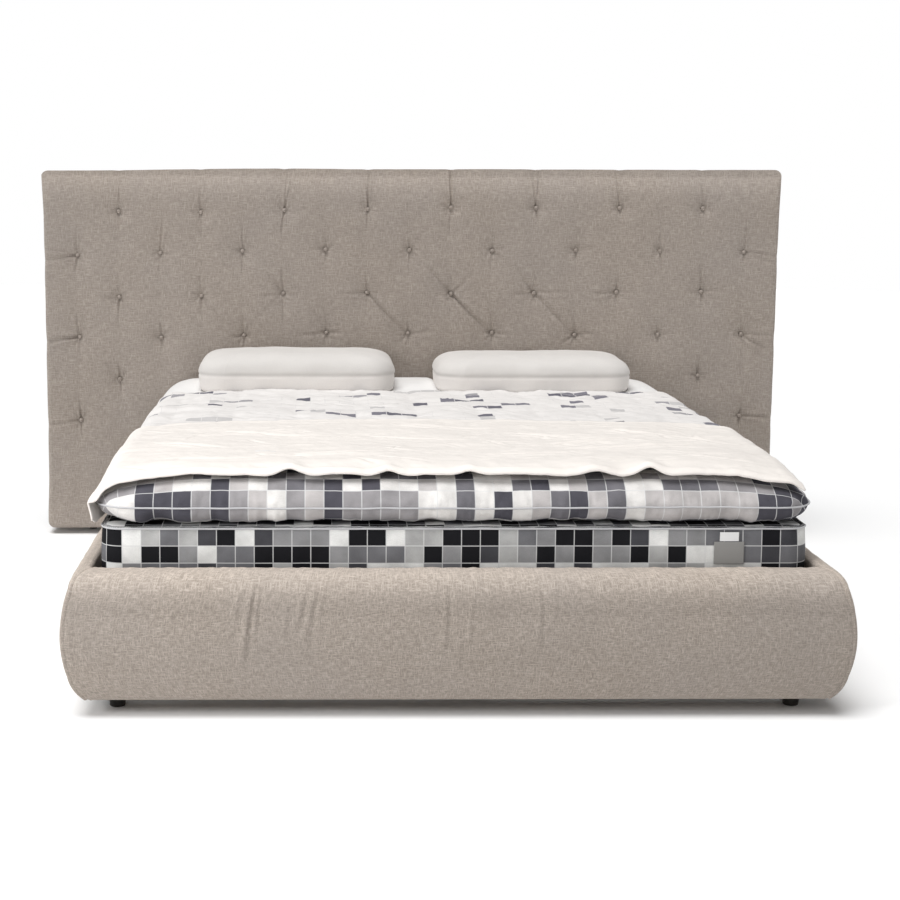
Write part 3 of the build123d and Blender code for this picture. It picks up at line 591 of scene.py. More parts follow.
# Pleats that run out from a button, by its (row, number): run to the right, rise and depth, all in mm.
PLEATS = {
    (0, 0): [(8, 105, 2.2), (4, -80, 1.4)],
    (0, 1): [(0, 90, 2.4), (24, 120, 1.2), (4, -90, 1.6)],
    (0, 2): [(38, 150, 4.2), (14, 135, 3.0), (-10, -85, 3.4)],
    (0, 3): [(5, 150, 4.6), (-8, 140, 2.6), (-42, 26, 1.8), (-3, -75, 3.0)],
    (0, 4): [(-2, 150, 4.4), (-4, -85, 2.6)],
    (0, 5): [(-11, 115, 3.0), (16, 140, 2.8), (14, -80, 2.2)],
    (0, 6): [(-14, 140, 2.6), (10, -60, 1.6)],
    (0, 7): [(-4, 95, 2.6)],
    (1, 0): [(-4, 75, 3.2), (-8, -72, 3.2), (-150, -26, 5.6), (-120, 22, 3.0), (-140, -8, 2.4)],
    (1, 1): [(13, 130, 3.4), (-4, -85, 2.8), (42, -4, 2.0), (-40, 2, 1.2)],
    (1, 2): [(2, 85, 3.0), (2, -80, 3.0)],
    (1, 3): [(0, 50, 1.6), (3, -60, 1.8)],
    (1, 4): [(0, 45, 2.0), (0, -80, 2.4), (120, -128, 1.2)],
    (1, 5): [(5, 62, 2.4), (-4, -70, 1.6), (118, -126, 1.8)],
    (1, 6): [(3, 58, 2.2), (3, -55, 1.8)],
    (1, 7): [(0, 80, 3.0), (10, -78, 2.8)],
    (1, 8): [(6, 120, 3.0), (0, -50, 2.2), (140, -22, 3.8), (120, -48, 1.8)],
    (2, 0): [(-2, 58, 2.4), (-2, -92, 4.0), (-68, -4, 2.4), (90, -98, 2.0)],
    (2, 1): [(-3, 72, 2.6), (3, -60, 2.6), (112, -124, 2.2), (50, 0, 1.2)],
    (2, 2): [(-4, 88, 3.2), (-78, 108, 2.4), (-108, -12, 2.8), (62, -12, 2.0), (0, -100, 2.8),
             (-112, -108, 1.8)],
    (2, 3): [(-4, 80, 3.2), (-90, -10, 3.6), (60, -2, 2.2), (0, -62, 2.6), (128, -134, 4.8)],
    (2, 4): [(-100, 102, 3.0), (150, -150, 5.4), (-70, -8, 2.6), (90, 82, 1.6), (132, -158, 2.2)],
    (2, 5): [(-82, 118, 3.0), (-80, -8, 3.0), (150, 4, 1.8), (145, -148, 3.8), (0, 70, 2.4)],
    (2, 6): [(-90, -5, 3.6), (2, 58, 2.4), (-34, -46, 2.2), (60, 0, 1.6), (3, -52, 2.0)],
    (2, 7): [(-7, 108, 4.0), (3, -62, 2.8), (60, 2, 1.8)],
    (3, 0): [(-10, 86, 3.4), (-145, -30, 6.0), (-110, 8, 3.2), (-130, -14, 2.4), (0, -70, 2.4)],
    (3, 1): [(0, 64, 2.8), (-50, 2, 2.0), (4, -60, 2.2)],
    (3, 2): [(-3, 78, 3.4), (-52, 0, 2.6), (48, -2, 2.0), (0, -60, 2.2)],
    (3, 3): [(-98, -12, 3.2), (0, 60, 2.4), (60, 0, 2.4)],
    (3, 4): [(0, 55, 2.8), (-30, -44, 2.4), (100, 14, 1.8)],
    (3, 5): [(-3, 72, 3.0), (66, -10, 2.4), (-40, -2, 1.8)],
    (3, 6): [(0, 46, 2.6), (-50, -42, 2.8), (80, 0, 1.8)],
    (3, 7): [(0, 40, 1.8)],
    (3, 8): [(90, -56, 3.2), (0, 45, 2.0), (140, 0, 2.2)],
    (4, 0): [(-2, 60, 2.6), (100, -104, 1.8)],
    (4, 7): [(2, 66, 2.6), (-70, -4, 2.0), (4, -60, 2.0)],
    (5, 0): [(-140, -18, 3.8), (0, 72, 2.8)],
    (5, 8): [(138, -14, 3.6), (0, 66, 2.6), (-60, 2, 1.8)],
}


def tufting(x, z, buttons, top):
    """How far the headboard's face stands out from its plane: puffed between buttons, creased at them."""
    rng = np.random.default_rng(5)
    places = {(row, number): (bx, bz) for row, number, bx, bz in buttons}
    out = 0.0070 + 0.0014 * rough(x, z, 0.20, 21) + 0.0005 * rough(x, z, 0.035, 22)
    out = out - 0.030 * np.clip((z - top + 0.145) / 0.12, 0, 1) ** 2.4
    for row, number, bx, bz in buttons:
        r = np.hypot(x - bx, z - bz)
        deep = rng.uniform(0.85, 1.15)
        out = out - deep * (0.0105 * np.exp(-r / 0.013) + 0.0105 * np.exp(-r / 0.058))
        spokes = rng.integers(7, 10)
        star = np.cos(np.arctan2(z - bz, x - bx) * spokes + rng.uniform(0, 6))
        out = out + 0.0016 * star * np.exp(-(((r - 0.024) / 0.015) ** 2))
        out = out - 0.0015 * bump(x - bx, 0.012) * bump(z - bz, 0.10) - 0.0006 * bump(x - bx, 0.035)
        if row == 0:
            out = out + 0.0035 * bump(np.abs(x - bx) - 0.040, 0.030) * bump(z - bz + 0.040, 0.030)
        if row > 3:
            for rise in (rng.uniform(0.05, 0.09), -rng.uniform(0.05, 0.09)):
                end = (bx + rng.uniform(-0.01, 0.01), bz + rise)
                out = out + 0.0024 * crease(x, z, (bx, bz), end, 0.0036)
    for (row, number), pleats in PLEATS.items():
        for run, rise, depth in pleats:
            deeper = 1.4 if row == 0 else 1.0
            out = out + deeper * depth / 1000 * pleat(x, z, places[row, number], run, rise)
    return out


def pleat(x, z, button, run, rise):
    """The crease of a pleat: narrow where it is upright, stronger where it slants from button to button."""
    end = (button[0] + 1.2 * run / 1000, button[1] + 1.2 * rise / 1000)
    upright = abs(rise) > 3 * abs(run)
    slanted = min(abs(rise), abs(run)) > 50
    width = 0.0034 if upright else 0.0056
    bend = 0.0 if upright else 0.004 * math.sin(run + rise)
    return (1.6 if slanted else 1.0) * crease(x, z, button, end, width, bend)


def outline(rows, cols, corner_steps):
    """Indices round the edge of a grid, its corners repeated, and the way that each one faces."""
    index = np.arange(rows * cols).reshape(rows, cols)
    edges = [
        (index[:, 0], (0, -1)),
        (index[-1, :], (1, 0)),
        (index[::-1, -1], (0, 1)),
        (index[0, ::-1], (-1, 0)),
    ]
    loop, ways = [], []
    for k, (run, way) in enumerate(edges):
        turned = edges[(k + 1) % 4][1]
        loop += list(run)
        ways += [way] * len(run)
        for step in range(1, corner_steps):
            angle = math.pi / 2 * step / corner_steps
            loop.append(run[-1])
            ways.append(tuple(np.array(way) * math.cos(angle) + np.array(turned) * math.sin(angle)))
    return np.array(loop), np.array(ways)


def edge_pull(x, z, ways, buttons, bottom, top):
    """How far the headboard's edges are drawn in, by the buttons near them and along their length."""
    pull = np.zeros(len(x))
    at_side, at_top = np.abs(ways[:, 0]), np.clip(ways[:, 1], 0, 1)
    for row, number, bx, bz in buttons:
        if row % 2 and number in (0, 8):
            pull = pull + 0.0045 * bump(z - bz + 0.02, 0.035) * at_side * (x * bx > 0)
        if row == 0:
            pull = pull + 0.0020 * bump(x - bx, 0.014) * at_top
    pull = pull + 0.008 * at_side * smooth((top - z) / 0.16) * smooth((z - bottom) / 0.2)
    pull = pull + 0.011 * smooth((-x - 0.55) / 0.75) * at_top
    return pull + 0.0015 * rough(x, z, 0.12, 41)


def edge_stations(radius, back_radius, turn_in, depth):
    """Steps over the headboard's edge: reach, depth, run of cloth, share of the face's relief, slack."""
    quarter = math.pi / 2
    side = depth - radius - back_radius
    stations = []
    for turn in np.linspace(0, quarter, 9)[1:]:
        keep = math.cos(turn)
        stations.append((radius * math.sin(turn), radius * (1 - keep), radius * turn, keep, 0))
    for down in np.linspace(0, side, 10)[1:]:
        stations.append((radius, radius + down, radius * quarter + down, 0, 1))
    for turn in np.linspace(0, quarter, 4)[1:]:
        reach = radius - back_radius * (1 - math.cos(turn))
        run = radius * quarter + side + back_radius * turn
        stations.append((reach, radius + side + back_radius * math.sin(turn), run, 0, 0))
    for inwards in np.linspace(0, turn_in, 4)[1:]:
        run = (radius + back_radius) * quarter + side + inwards
        stations.append((radius - back_radius - inwards, depth - 0.0006, run, 0, 0))
    return stations


def skirt_faces(loop, rings, start):
    """Faces between a grid's outline and the rings of points added round it, numbered from `start`."""
    count = len(loop)
    lines = [[int(i) for i in loop]]
    lines += [list(range(start + k * count, start + (k + 1) * count)) for k in range(rings)]
    faces = []
    for inner, outer in zip(lines[:-1], lines[1:]):
        for i in range(count):
            j = (i + 1) % count
            corners = dict.fromkeys((inner[i], inner[j], outer[j], outer[i]))
            faces.append(list(corners)[::-1])
    return faces


def make_headboard(materials):
    """The tufted cover: front, rolled edges, sides and the turn-in at the back, in one piece."""
    low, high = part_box("headboard_cover")
    buttons = button_points()
    radius, back_radius, turn_in = 0.024, 0.006, 0.030
    half, bottom, top = high.x - radius, low.z + radius, high.z - radius
    front = low.y + 0.0005
    low_row = min(b[3] for b in buttons)

    xs = spaced(-half, half, [b[2] for b in buttons], 0.0092, 0.0027, 0.030)
    zs = spaced(bottom, top, [b[3] for b in buttons], 0.0082, 0.0046, 0.030, low_row - 0.1, 0.016)
    gx, gz = np.meshgrid(xs, zs, indexing="ij")
    stand = tufting(gx, gz, buttons, high.z)
    face = np.stack([gx, front - stand, gz], -1).reshape(-1, 3)

    loop, ways = outline(len(xs), len(zs), 7)
    edge_x, edge_z, lift = face[loop, 0], face[loop, 2], stand.reshape(-1)[loop]
    pull = edge_pull(edge_x, edge_z, ways, buttons, bottom, top)
    rings, ring_uv = [], []
    for reach, along, run, keep, slack in edge_stations(radius, back_radius, turn_in, high.y - low.y):
        sag = 0.0012 * slack * noise(edge_x + edge_z, np.full(len(loop), along), 0.09, 43)
        out = reach - pull * (1 - keep) + sag
        y = np.minimum(front + along - lift * keep, high.y - 0.0002)
        rings.append(np.stack([edge_x + ways[:, 0] * out, y, edge_z + ways[:, 1] * out], 1))
        ring_uv.append(np.stack([edge_x, edge_z], 1) + ways * run)

    vertices = np.concatenate([face] + rings)
    uv = np.concatenate([np.stack([gx, gz], -1).reshape(-1, 2)] + ring_uv)
    faces = grid_faces(len(xs), len(zs), flip=True) + skirt_faces(loop, len(rings), len(face))
    cover = mesh_object("headboard_upholstery", vertices, faces, uv)
    tidy_faces(cover)
    weave = materials["headboard_weave"]
    dress(cover, weave, "frame", "headboard_weave", "headboard_cover", "headboard_padding")
    return buttons


def tidy_faces(piece):
    """Merge doubled points and turn every face outwards."""
    made = bmesh.new()
    made.from_mesh(piece.data)
    bmesh.ops.remove_doubles(made, verts=made.verts, dist=1e-6)
    bmesh.ops.recalc_face_normals(made, faces=made.faces)
    made.to_mesh(piece.data)
    made.free()


def make_buttons(materials, buttons):
    """Covered buttons: domed caps of the same cloth, each sitting a little crooked in its dimple."""
    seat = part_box("headboard_buttons")[1].y
    rng = np.random.default_rng(9)
    rings, spokes = 9, 24
    vertices, faces, uv = [], [], []
    for _, _, bx, bz in buttons:
        tilt_x, tilt_z = rng.uniform(-0.10, 0.10, 2)
        start = len(vertices)
        for i in range(rings):
            angle = math.pi / 2 * i / (rings - 1) * 1.15
            r = BUTTON_RADIUS * math.sin(min(angle, math.pi / 2)) + 0.0002 * (i == rings - 1)
            out = 0.0062 * math.cos(angle) + 0.001
            for j in range(spokes):
                turn = 2 * math.pi * j / spokes
                gather = 1 + 0.02 * math.cos(turn * 8) * (i > rings // 2)
                dx, dz = r * gather * math.cos(turn), r * gather * math.sin(turn)
                vertices.append((bx + dx, seat - 0.0035 - out + tilt_x * dx + tilt_z * dz, bz + dz))
                uv.append((bx + dx, bz + dz))
        for i in range(rings - 1):
            for j in range(spokes):
                a, b = start + i * spokes + j, start + i * spokes + (j + 1) % spokes
                faces.append((a, b, b + spokes, a + spokes))
    piece = mesh_object("covered_buttons", vertices, faces, uv)
    tidy_faces(piece)
    dress(piece, materials["headboard_weave"], "frame", "headboard_weave", "headboard_buttons")


def make_back_cloth(materials):
    """The thin cloth stapled over the headboard's back, a little slack between the timbers."""
    low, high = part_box("headboard_back_cloth")
    xs = np.linspace(low.x - 0.020, high.x + 0.020, 150)
    zs = np.linspace(low.z - 0.020, high.z + 0.020, 80)
    gx, gz = np.meshgrid(xs, zs, indexing="ij")
    inset = np.minimum(np.minimum(gx - xs[0], xs[-1] - gx), np.minimum(gz - zs[0], zs[-1] - gz))
    slack = smooth(inset / 0.05)
    y = high.y + 0.0008 + 0.0016 * slack + 0.0013 * slack * rough(gx, gz, 0.16, 51)
    staple = np.cos(2 * math.pi * (gx + gz) / 0.04) * bump(inset - 0.010, 0.006)
    points = np.stack([gx, y - 0.0003 * staple, gz], -1)
    piece = grid_object("headboard_dust_cloth", points, np.stack([gx, gz], -1), flip=False)
    thicken(piece, 0.0006)
    dress(piece, materials["back_cloth"], "frame", "back_cloth", "headboard_back_cloth")


def thicken(piece, thickness, offset=0.0):
    """Give an open cloth surface a real thickness."""
    solid = piece.modifiers.new("thickness", "SOLIDIFY")
    solid.thickness = thickness
    solid.offset = offset
    solid.use_even_offset = False
    apply(piece, solid)


def apply(piece, modifier):
    """Bake a modifier into the mesh."""
    with bpy.context.temp_override(object=piece, active_object=piece, selected_objects=[piece]):
        bpy.ops.object.modifier_apply(modifier=modifier.name)


# ------------------------------------------------------------------ bed frame upholstery
def frame_profiles():
    """Matching cross-sections of the side rail, as (half width, z), and of the foot rail, as (y, z)."""
    side_low, side_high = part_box("side_cover_right")
    foot_low, foot_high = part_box("foot_cover")
    inner_x, inner_y = side_low.x, foot_high.y
    bulge, front = side_high.x, foot_low.y
    bottom, top = side_low.z, side_high.z
    waist, crown, middle = 0.108, 0.325, 0.215
    lip, under_x, turned_to = 0.011, bulge - 0.0515, 0.262
    side = chain(
        straight((inner_x - 0.003, bottom), (under_x, bottom), 5),
        three_point_arc((under_x, bottom), (bulge - 0.027, bottom + 0.031), (bulge - 0.015, waist), 12),
        three_point_arc((bulge - 0.015, waist), (bulge, middle), (bulge - 0.018, crown), 30),
        three_point_arc((bulge - 0.018, crown), (bulge - 0.025, top - 0.010), (bulge - 0.041, top), 14),
        straight((bulge - 0.041, top), (inner_x + lip * 0.5, top - 0.001), 6),
        arc((inner_x + lip * 0.5, top - 0.001 - lip), lip, 90, 180, 7),
        straight((inner_x - lip * 0.5, top - 0.001 - lip), (inner_x - 0.0035, turned_to), 8),
    )
    low, high = bottom + 0.002, top - 0.002
    foot = chain(
        straight((inner_y + 0.003, low), (front + 0.024, low), 5),
        three_point_arc((front + 0.024, low), (front + 0.011, low + 0.026), (front + 0.006, waist), 12),
        three_point_arc((front + 0.006, waist), (front, 0.175), (front + 0.011, 0.262), 22),
        three_point_arc((front + 0.011, 0.262), (front + 0.040, 0.330), (front + 0.100, high), 22),
        straight((front + 0.100, high), (inner_y - lip * 0.5, high - 0.001), 6),
        np.stack([inner_y - lip * 0.5 + lip * np.sin(np.linspace(0, math.pi / 2, 7)),
                  high - 0.001 - lip * (1 - np.cos(np.linspace(0, math.pi / 2, 7)))], 1),
        straight((inner_y + lip * 0.5, high - 0.001 - lip), (inner_y + 0.0035, turned_to), 8),
    )
    return side, foot


def frame_path(side, foot, head_y):
    """Sections of the cover down the left side, across the foot and up the right, each with its stretch."""
    half, z_side = side[:, 0], side[:, 1]
    front, z_foot = foot[:, 0], foot[:, 1]
    end_y = front + MITRE
    along = spaced(0, 1, [1.0], 0.0085, 0.004, 0.25)
    across = spaced(-1, 1, FOLDED_STRETCHES, 0.008, 0.0045, 0.12)
    corner = np.arange(1, MITRE_STEPS) / MITRE_STEPS

    def side_section(sign, t):
        return np.stack([sign * half, head_y + (end_y - head_y) * t, z_side], 1)

    def corner_section(sign, w):
        angle = math.pi / 2 * w
        x = half - MITRE + MITRE * math.cos(angle)
        y = front + MITRE - MITRE * math.sin(angle)
        return np.stack([sign * x, y, z_side * (1 - w) + z_foot * w], 1)

    left = [side_section(-1, t) for t in along] + [corner_section(-1, w) for w in corner]
    middle = [np.stack([(half - MITRE) * t, front, z_foot], 1) for t in across]
    right = [corner_section(1, w) for w in corner[::-1]] + [side_section(1, t) for t in along[::-1]]
    kinds = ["left"] * len(left) + ["foot"] * len(middle) + ["right"] * len(right)
    return np.stack(left + middle + right), kinds


def frame_relief(points, across, up, kinds):
    """Puckers and slack in the frame's cover, as a height over its surface."""
    x, z = points[..., 0], points[..., 2]
    on_foot = np.array([kind == "foot" for kind in kinds])[:, None]
    out = 0.0012 * rough(across, up, 0.20, 61) + 0.0005 * rough(across, up * 0.5, 0.045, 62)
    shallow = smooth((z - 0.08) / 0.06)
    gathers = noise(across, up * 0.12, 0.016, 63) * bump(z - 0.345, 0.045) * 0.0011
    gathers = gathers + noise(across, up * 0.10, 0.022, 64) * bump(z - 0.055, 0.04) * 0.0006
    out = out + gathers
    folds = np.zeros_like(x)
    for x0, z0, x1, z1, strength, width in FOOT_FOLDS:
        folds = folds + strength * two_ended(x, z, (x0, z0), (x1, z1), width)
    return out * shallow + folds * on_foot


def two_ended(x, z, start, end, width):
    """A soft fold that fades at both ends."""
    (x0, z0), (x1, z1) = start, end
    t = (z - z0) / (z1 - z0)
    middle = x0 + (x1 - x0) * t + 0.004 * np.sin(t * 4.2 + x0 * 30)
    side = x - middle
    spread = width * (0.7 + 0.6 * np.clip(t, 0, 1))
    fade = smooth(t / 0.22) * smooth((1 - t) / 0.35)
    return (bump(side, spread) - 0.85 * bump(side - 1.9 * spread, spread * 0.9)) * fade


# Soft folds in the foot rail's cover, as (x, z) of the upper and lower end, height and width.
FOOT_FOLDS = [
    (-0.500, 0.345, -0.545, 0.120, 0.0043, 0.0072),
    (-0.485, 0.335, -0.520, 0.170, 0.0028, 0.0056),
    (-0.535, 0.330, -0.560, 0.210, 0.0014, 0.0070),
    (-0.355, 0.340, -0.385, 0.150, 0.0023, 0.0076),
    (-0.385, 0.330, -0.405, 0.200, 0.0019, 0.0064),
    (-0.330, 0.345, -0.345, 0.220, 0.0014, 0.0060),
    (-0.425, 0.300, -0.440, 0.190, 0.0011, 0.0070),
    (-0.030, 0.345, -0.050, 0.130, 0.0023, 0.0064),
    (0.030, 0.350, 0.022, 0.160, 0.0016, 0.0060),
    (0.000, 0.250, -0.012, 0.090, 0.0010, 0.0070),
    (0.195, 0.350, 0.188, 0.140, 0.0020, 0.0060),
    (0.230, 0.330, 0.225, 0.220, 0.0011, 0.0070),
    (0.320, 0.340, 0.312, 0.200, 0.0009, 0.0080),
    (0.470, 0.350, 0.480, 0.220, 0.0008, 0.0080),
    (-0.700, 0.345, -0.712, 0.240, 0.0009, 0.0080),
    (0.700, 0.345, 0.716, 0.240, 0.0009, 0.0090),
]


def make_frame_upholstery(materials):
    """Side and foot covers, seamed where the foot panel meets the sides."""
    head_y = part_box("side_cover_right")[1].y
    side, foot = frame_profiles()
    points, kinds = frame_path(side, foot, head_y)
    cloth = lengths(side)
    count = len(kinds)
    middle = points[:, 40]
    run = lengths(middle)
    across = np.repeat(run[:, None], len(cloth), 1)
    up = np.repeat(cloth[None, :], count, 0)
    outward = normals(points)
    facing = np.where(outward[:, 35, 0] * middle[:, 0] + outward[:, 35, 1] * middle[:, 1] > 0, 1, -1)
    sign = 1.0 if np.median(facing) > 0 else -1.0
    outward = outward * sign
    relief = frame_relief(points, across, up, kinds)
    seam_left = kinds.index("foot")
    seam_right = count - 1 - kinds[::-1].index("foot")
    for seam in (seam_left, seam_right):
        gap = across - run[seam]
        relief = relief - 0.0016 * bump(gap, 0.0028) + 0.0011 * bump(np.abs(gap) - 0.0075, 0.0042)
    points = points + outward * relief[..., None]
    uv = np.stack([across, up], -1)
    names = [
        ("frame_side_left", slice(0, seam_left + 1), ("side_cover_left", "side_padding_left")),
        ("frame_foot", slice(seam_left, seam_right + 1), ("foot_cover", "foot_padding")),
        ("frame_side_right", slice(seam_right, count), ("side_cover_right", "side_padding_right")),
    ]
    for name, part, nodes in names:
        turn = 0.0 if name == "frame_foot" else 0.37
        piece = grid_object(name, points[part], uv[part] + turn, flip=sign < 0)
        dress(piece, materials["frame_weave"], "frame", "frame_weave", *nodes)


# ------------------------------------------------------------------ mattress and topper
def rounded_path(half_x, half_y, centre, corner, step):
    """A closed rounded rectangle from the left of its foot end, as points and outward directions."""
    points, ways = [], []
    sides = [((1, 0), (0, -1)), ((0, 1), (1, 0)), ((-1, 0), (0, 1)), ((0, -1), (-1, 0))]
    corners = [(half_x, -half_y), (half_x, half_y), (-half_x, half_y), (-half_x, -half_y)]
    corner_steps = 12
    for k in range(4):
        a, b = np.array(corners[k - 1]), np.array(corners[k])
        go, way = np.array(sides[k][0]), np.array(sides[k][1])
        length = np.abs(b - a).sum() - 2 * corner
        for t in np.arange(0, length, step):
            points.append(a + go * (corner + t))
            ways.append(way)
        middle = b - go * corner - way * corner
        start = math.atan2(way[1], way[0])
        for i in range(corner_steps):
            angle = start + math.pi / 2 * i / corner_steps
            ways.append(np.array([math.cos(angle), math.sin(angle)]))
            points.append(middle + corner * ways[-1])
    points, ways = np.array(points + points[:1]), np.array(ways + ways[:1])
    return points + np.array([centre[0], centre[1]]), ways


def swept_block(node, profile, corner, relief, step=0.0105):
    """A profile of (inset, z) swept round a node: points, their run and height, outward ways, smooth plan."""
    low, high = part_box(node)
    plan, ways = rounded_path((high.x - low.x) / 2, (high.y - low.y) / 2, (low + high) / 2, corner, step)
    run = lengths(plan)
    inset, z = profile[:, 0], profile[:, 1]
    points = np.empty((len(plan), len(profile), 3))
    points[..., :2] = plan[:, None, :] - ways[:, None, :] * inset[None, :, None]
    centre = np.array([(low.x + high.x) / 2, (low.y + high.y) / 2])
    limit = np.array([high.x, high.y]) - centre - np.maximum(inset, 0.0)[:, None]
    points[..., :2] = centre + np.clip(points[..., :2] - centre, -limit, limit)
    points[..., 2] = z[None, :]
    level_plan = points[..., :2].copy()
    across = np.repeat(run[:, None], len(profile), 1)
    up = np.repeat(z[None, :], len(plan), 0)
    slope = np.gradient(profile, axis=0)
    slope = slope / np.linalg.norm(slope, axis=1, keepdims=True)
    outward = np.empty_like(points)
    outward[..., :2] = ways[:, None, :] * slope[None, :, 1:2]
    outward[..., 2] = slope[None, :, 0]
    height = relief(across, up, inset[None, :] + 0 * up)
    join_up = smooth((run[-1] - run) / 0.05)[:, None]
    height = height * join_up + height[:1] * (1 - join_up)
    points = points + outward * height[..., None]
    points[-1] = points[0]
    return points, across, up, ways, level_plan


def whole_checks(length):
    """The stretch that makes a loop of cloth a whole number of check squares long."""
    return round(length / CHECK[0]) * CHECK[0] / length


def make_mattress(materials):
    """Sprung mattress in checked ticking with piped seams."""
    low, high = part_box("mattress_border")
    core_low, core_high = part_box("mattress_core")
    bottom, top = core_low.z - TICKING, core_high.z + TICKING
    low_seam, high_seam = low.z, high.z + 0.003
    border_levels = 22
    border = straight((0.0, low_seam), (0.0, high_seam), border_levels)
    border[:, 0] = 0.0035 - 0.0035 * np.sin(np.linspace(0, math.pi, border_levels))
    under = np.array([[0.16, bottom], [0.05, bottom], [0.022, bottom + 0.0005], [0.010, bottom + 0.004]])
    edge = [[0.010, high_seam + 0.006], [0.020, top - 0.0015], [0.034, top]]
    over = np.array(edge + [[0.07, top], [0.16, top]])
    profile = np.concatenate([under, border, over])
    first, last = len(under), len(under) + border_levels - 1

    def relief(across, up, inset):
        seam = np.minimum(np.abs(up - low_seam), np.abs(up - high_seam))
        slack = rough(across, up, 0.16, 71) * 0.0024 + rough(across, up * 0.4, 0.045, 72) * 0.0012
        pucker = noise(across, up * 0.3, 0.024, 73) * bump(seam, 0.02) * 0.0011
        return (slack * smooth(seam / 0.02) + pucker) * (inset < 0.03) - 0.0012

    points, across, up, ways, _ = swept_block("mattress_border", profile, MATTRESS_CORNER, relief)
    across = across * whole_checks(across[-1, 0])
    uv = np.stack([across, up - high_seam], -1)
    shift = across[0, 0] - points[0, 0, 0]
    for levels in (slice(0, first), slice(last + 1, None)):
        uv[:, levels, 0] = points[:, levels, 0] + shift
        uv[:, levels, 1] = points[:, levels, 1]
    centre, panel_shift = (low + high) / 2, (shift, 0.0)
    piece = block_mesh("mattress_ticking", points, uv, centre, top, bottom, panel_shift, panel_shift)
    dress(piece, materials["ticking"], "mattress", "ticking",
          "mattress_border", "mattress_top_panel", "mattress_bottom_panel", "mattress_core")
    pipes = []
    for number, level in enumerate((first, last)):
        line = points[:-1, level].copy()
        line[:, :2] += ways[:-1] * 0.0012
        pipes.append(tube(f"mattress_piping_{number + 1}", line, PIPING, closed=True))
    dress(join("mattress_piping_run", pipes), materials["piping"], "mattress", "piping", "mattress_piping")


def block_mesh(name, points, uv, centre, top_z, bottom_z, top_shift=(0, 0), bottom_shift=(0, 0)):
    """Close a swept block with shrinking rings over its top and bottom, the pattern moved by the shifts."""
    steps = 6
    tops, tops_uv, bottoms, bottoms_uv = [], [], [], []
    middle = np.array([centre[0], centre[1], 0.0])
    for k in range(1, steps + 1):
        t = 1 - k / steps
        for edge, rings, cloth, z, shift in (
            (points[:, -1], tops, tops_uv, top_z, top_shift),
            (points[:, 0], bottoms, bottoms_uv, bottom_z, bottom_shift),
        ):
            ring = middle + (edge - middle) * t
            ring[:, 2] = edge[:, 2] * t + z * (1 - t)
            rings.append(ring)
            cloth.append(ring[:, :2] + np.array(shift))
    whole = np.concatenate([np.stack(bottoms[::-1], 1), points, np.stack(tops, 1)], 1)
    cloth = np.concatenate([np.stack(bottoms_uv[::-1], 1), uv, np.stack(tops_uv, 1)], 1)
    piece = grid_object(name, whole, cloth)
    tidy_faces(piece)
    return piece


def join(name, pieces):
    """Several meshes as one object."""
    chosen = {"selected_objects": pieces, "selected_editable_objects": pieces}
    with bpy.context.temp_override(active_object=pieces[0], **chosen):
        bpy.ops.object.join()
    pieces[0].name = name
    pieces[0].data.name = name
    return pieces[0]


def topper_section():
    """Half sections of the topper over and under its seam, as (inset, z), and the seam's height."""
    core_low, core_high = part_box("topper_core")
    bottom, top = core_low.z - TICKING, core_high.z + TICKING
    pipe_low, pipe_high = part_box("topper_piping")
    seam = (pipe_low.z + pipe_high.z) / 2
    turn = np.linspace(0, math.pi / 2, 14)
    lower = np.stack([0.060 * (1 - np.sin(turn)) ** 1.15, seam - (seam - bottom) * np.cos(turn) ** 0.9], 1)
    turn = np.linspace(0, math.pi / 2, 24)
    upper = np.stack([0.110 * (1 - np.cos(turn)) ** 1.1, seam + (top - seam) * np.sin(turn) ** 0.85], 1)
    return lower, upper, seam


def topper_sag(x, y):
    """How far the topper's upper side falls towards its long sides, and further at its foot corners."""
    low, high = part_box("topper_core")
    edge = high.x - np.abs(x)
    foot = 1 - smooth((y - low.y) / 0.40)
    return 0.007 * (1 - smooth(edge / 0.34)) ** 1.5 + 0.019 * foot * (1 - smooth(edge / 0.30)) ** 1.3


